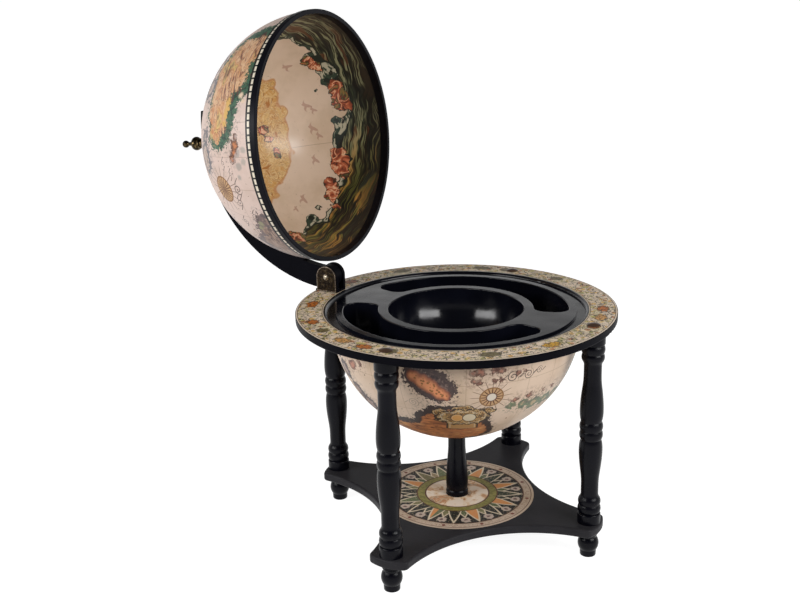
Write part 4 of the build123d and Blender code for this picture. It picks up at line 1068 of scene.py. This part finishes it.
def make_floor():
    """A wide pale floor that keeps a faint shadow, white to the eye and in reflections."""
    corners = np.array([(-1, -1, 0), (1, -1, 0), (1, 1, 0), (-1, 1, 0)], float) * FLOOR_HALF
    mesh = bpy.data.meshes.new("studio_floor")
    mesh.from_pydata(corners.tolist(), [], [(0, 1, 2, 3)])
    floor = bpy.data.objects.new("studio_floor", mesh)
    bpy.context.scene.collection.objects.link(floor)
    material = bpy.data.materials.new("studio_floor")
    material.use_nodes = True
    nodes_of = material.node_tree.nodes
    nodes_of.remove(nodes_of["Principled BSDF"])
    tree = Tree(material.node_tree)
    plain, pale = (tree.add("ShaderNodeBsdfDiffuse", {"Color": (grey, grey, grey, 1)}).outputs[0]
                   for grey in (FLOOR_LIT, FLOOR_SEEN))
    glow = tree.add("ShaderNodeEmission", {"Strength": FLOOR_GLOW}).outputs[0]
    white = tree.add("ShaderNodeAddShader", enumerate((pale, glow))).outputs[0]
    seen = ray_switch(tree, plain, white, "Is Camera Ray", "Is Glossy Ray", "Is Transmission Ray")
    tree.put(nodes_of["Material Output"].inputs["Surface"], seen)
    mesh.materials.append(material)


def make_world():
    """White to the eye; a soft sky as a lamp; and in reflections a studio, white low down behind the object."""
    world = bpy.data.worlds.new("studio")
    bpy.context.scene.world = world
    world.use_nodes = True
    tree = Tree(world.node_tree)
    soft, output = (world.node_tree.nodes[name] for name in ("Background", "World Output"))
    place = tree.add("ShaderNodeTexCoord").outputs["Generated"]
    _, _, rise = tree.split(place)
    tree.put(soft.inputs["Color"], tree.smooth(rise, 0.0, 0.9, SKY_SIDES, SKY_OVERHEAD))
    ahead = tree.smooth(tree.vector("DOT_PRODUCT", place, BEHIND), -0.4, 0.3, 0.3, 1.0)
    studio = tree.smooth(rise, 0.25, 0.37, 1.0, 0.12) * ahead
    room, white = (tree.add("ShaderNodeBackground", {"Color": colour}).outputs[0] for colour in (studio, (1, 1, 1, 1)))
    shaped = ray_switch(tree, soft.outputs[0], room, "Is Glossy Ray")
    tree.put(output.inputs["Surface"], ray_switch(tree, shaped, white, "Is Camera Ray", "Is Transmission Ray"))


make_floor()
make_world()
print("floor and world ready")

# %% [markdown]
# ## Soft boxes and camera
# Two soft boxes point at the tray's bowl from either side of the camera, and their rectangles show in it.
# The camera is placed by its directions, and a small shift of the lens centres the object.

# %% Lamps and camera
BOX_WIDE, BOX_HIGH = 1.2, 0.42          # soft boxes, in metres
BOX_AWAY = 1.7
BOX_RISE = radians(21)
BOWL = np.array((0.0, AXIS_Y, 0.30))    # what they point at
CAMERA = (-1.3221, -0.6374 + AXIS_Y, 0.7768)
CAMERA_RIGHT = np.array((0.471936, -0.881359, -0.021972))
CAMERA_UP = np.array((0.268578, 0.119987, 0.955758))
LENS, SENSOR = 52.67, 36.0              # in millimetres
SHIFT = 0.000625                        # share of the picture's width


def turned(right, up, back, place):
    """A 4 by 4 matrix from three directions and a place."""
    turn = np.eye(4)
    turn[:3, :3] = np.column_stack((right, up, back))
    turn[:3, 3] = place
    return Matrix(turn.tolist())


def soft_box(name, azimuth, roll, watts):
    """A rectangular soft lamp that points at the bowl, rolled about the line to it."""
    lamp = bpy.data.lights.new(name, "AREA")
    lamp.shape, lamp.size, lamp.size_y, lamp.energy = "RECTANGLE", BOX_WIDE, BOX_HIGH, watts
    thing = bpy.data.objects.new(name, lamp)
    bpy.context.scene.collection.objects.link(thing)
    level = cos(BOX_RISE)
    place = BOWL + BOX_AWAY * np.array((level * cos(azimuth), level * sin(azimuth), sin(BOX_RISE)))
    back = (place - BOWL) / np.linalg.norm(place - BOWL)
    right = np.cross((0.0, 0.0, 1.0), back)
    right /= np.linalg.norm(right)
    thing.matrix_world = turned(right, np.cross(back, right), back, place) @ Matrix.Rotation(roll, 4, "Z")


def make_camera():
    """The camera in front and to the left, a little above the open tray."""
    lens = bpy.data.cameras.new("camera")
    lens.lens, lens.sensor_width, lens.clip_end = LENS, SENSOR, 100.0
    lens.shift_x, lens.shift_y = -SHIFT, SHIFT
    camera = bpy.data.objects.new("camera", lens)
    bpy.context.scene.collection.objects.link(camera)
    camera.matrix_world = turned(CAMERA_RIGHT, CAMERA_UP, np.cross(CAMERA_RIGHT, CAMERA_UP), CAMERA)
    bpy.context.scene.camera = camera


soft_box("left_box", radians(145), radians(17), 18)
soft_box("right_box", radians(-101), radians(-17), 20)
make_camera()
bpy.context.scene.view_settings.view_transform = "Standard"
print("lamps:", ", ".join(light.name for light in bpy.data.lights))
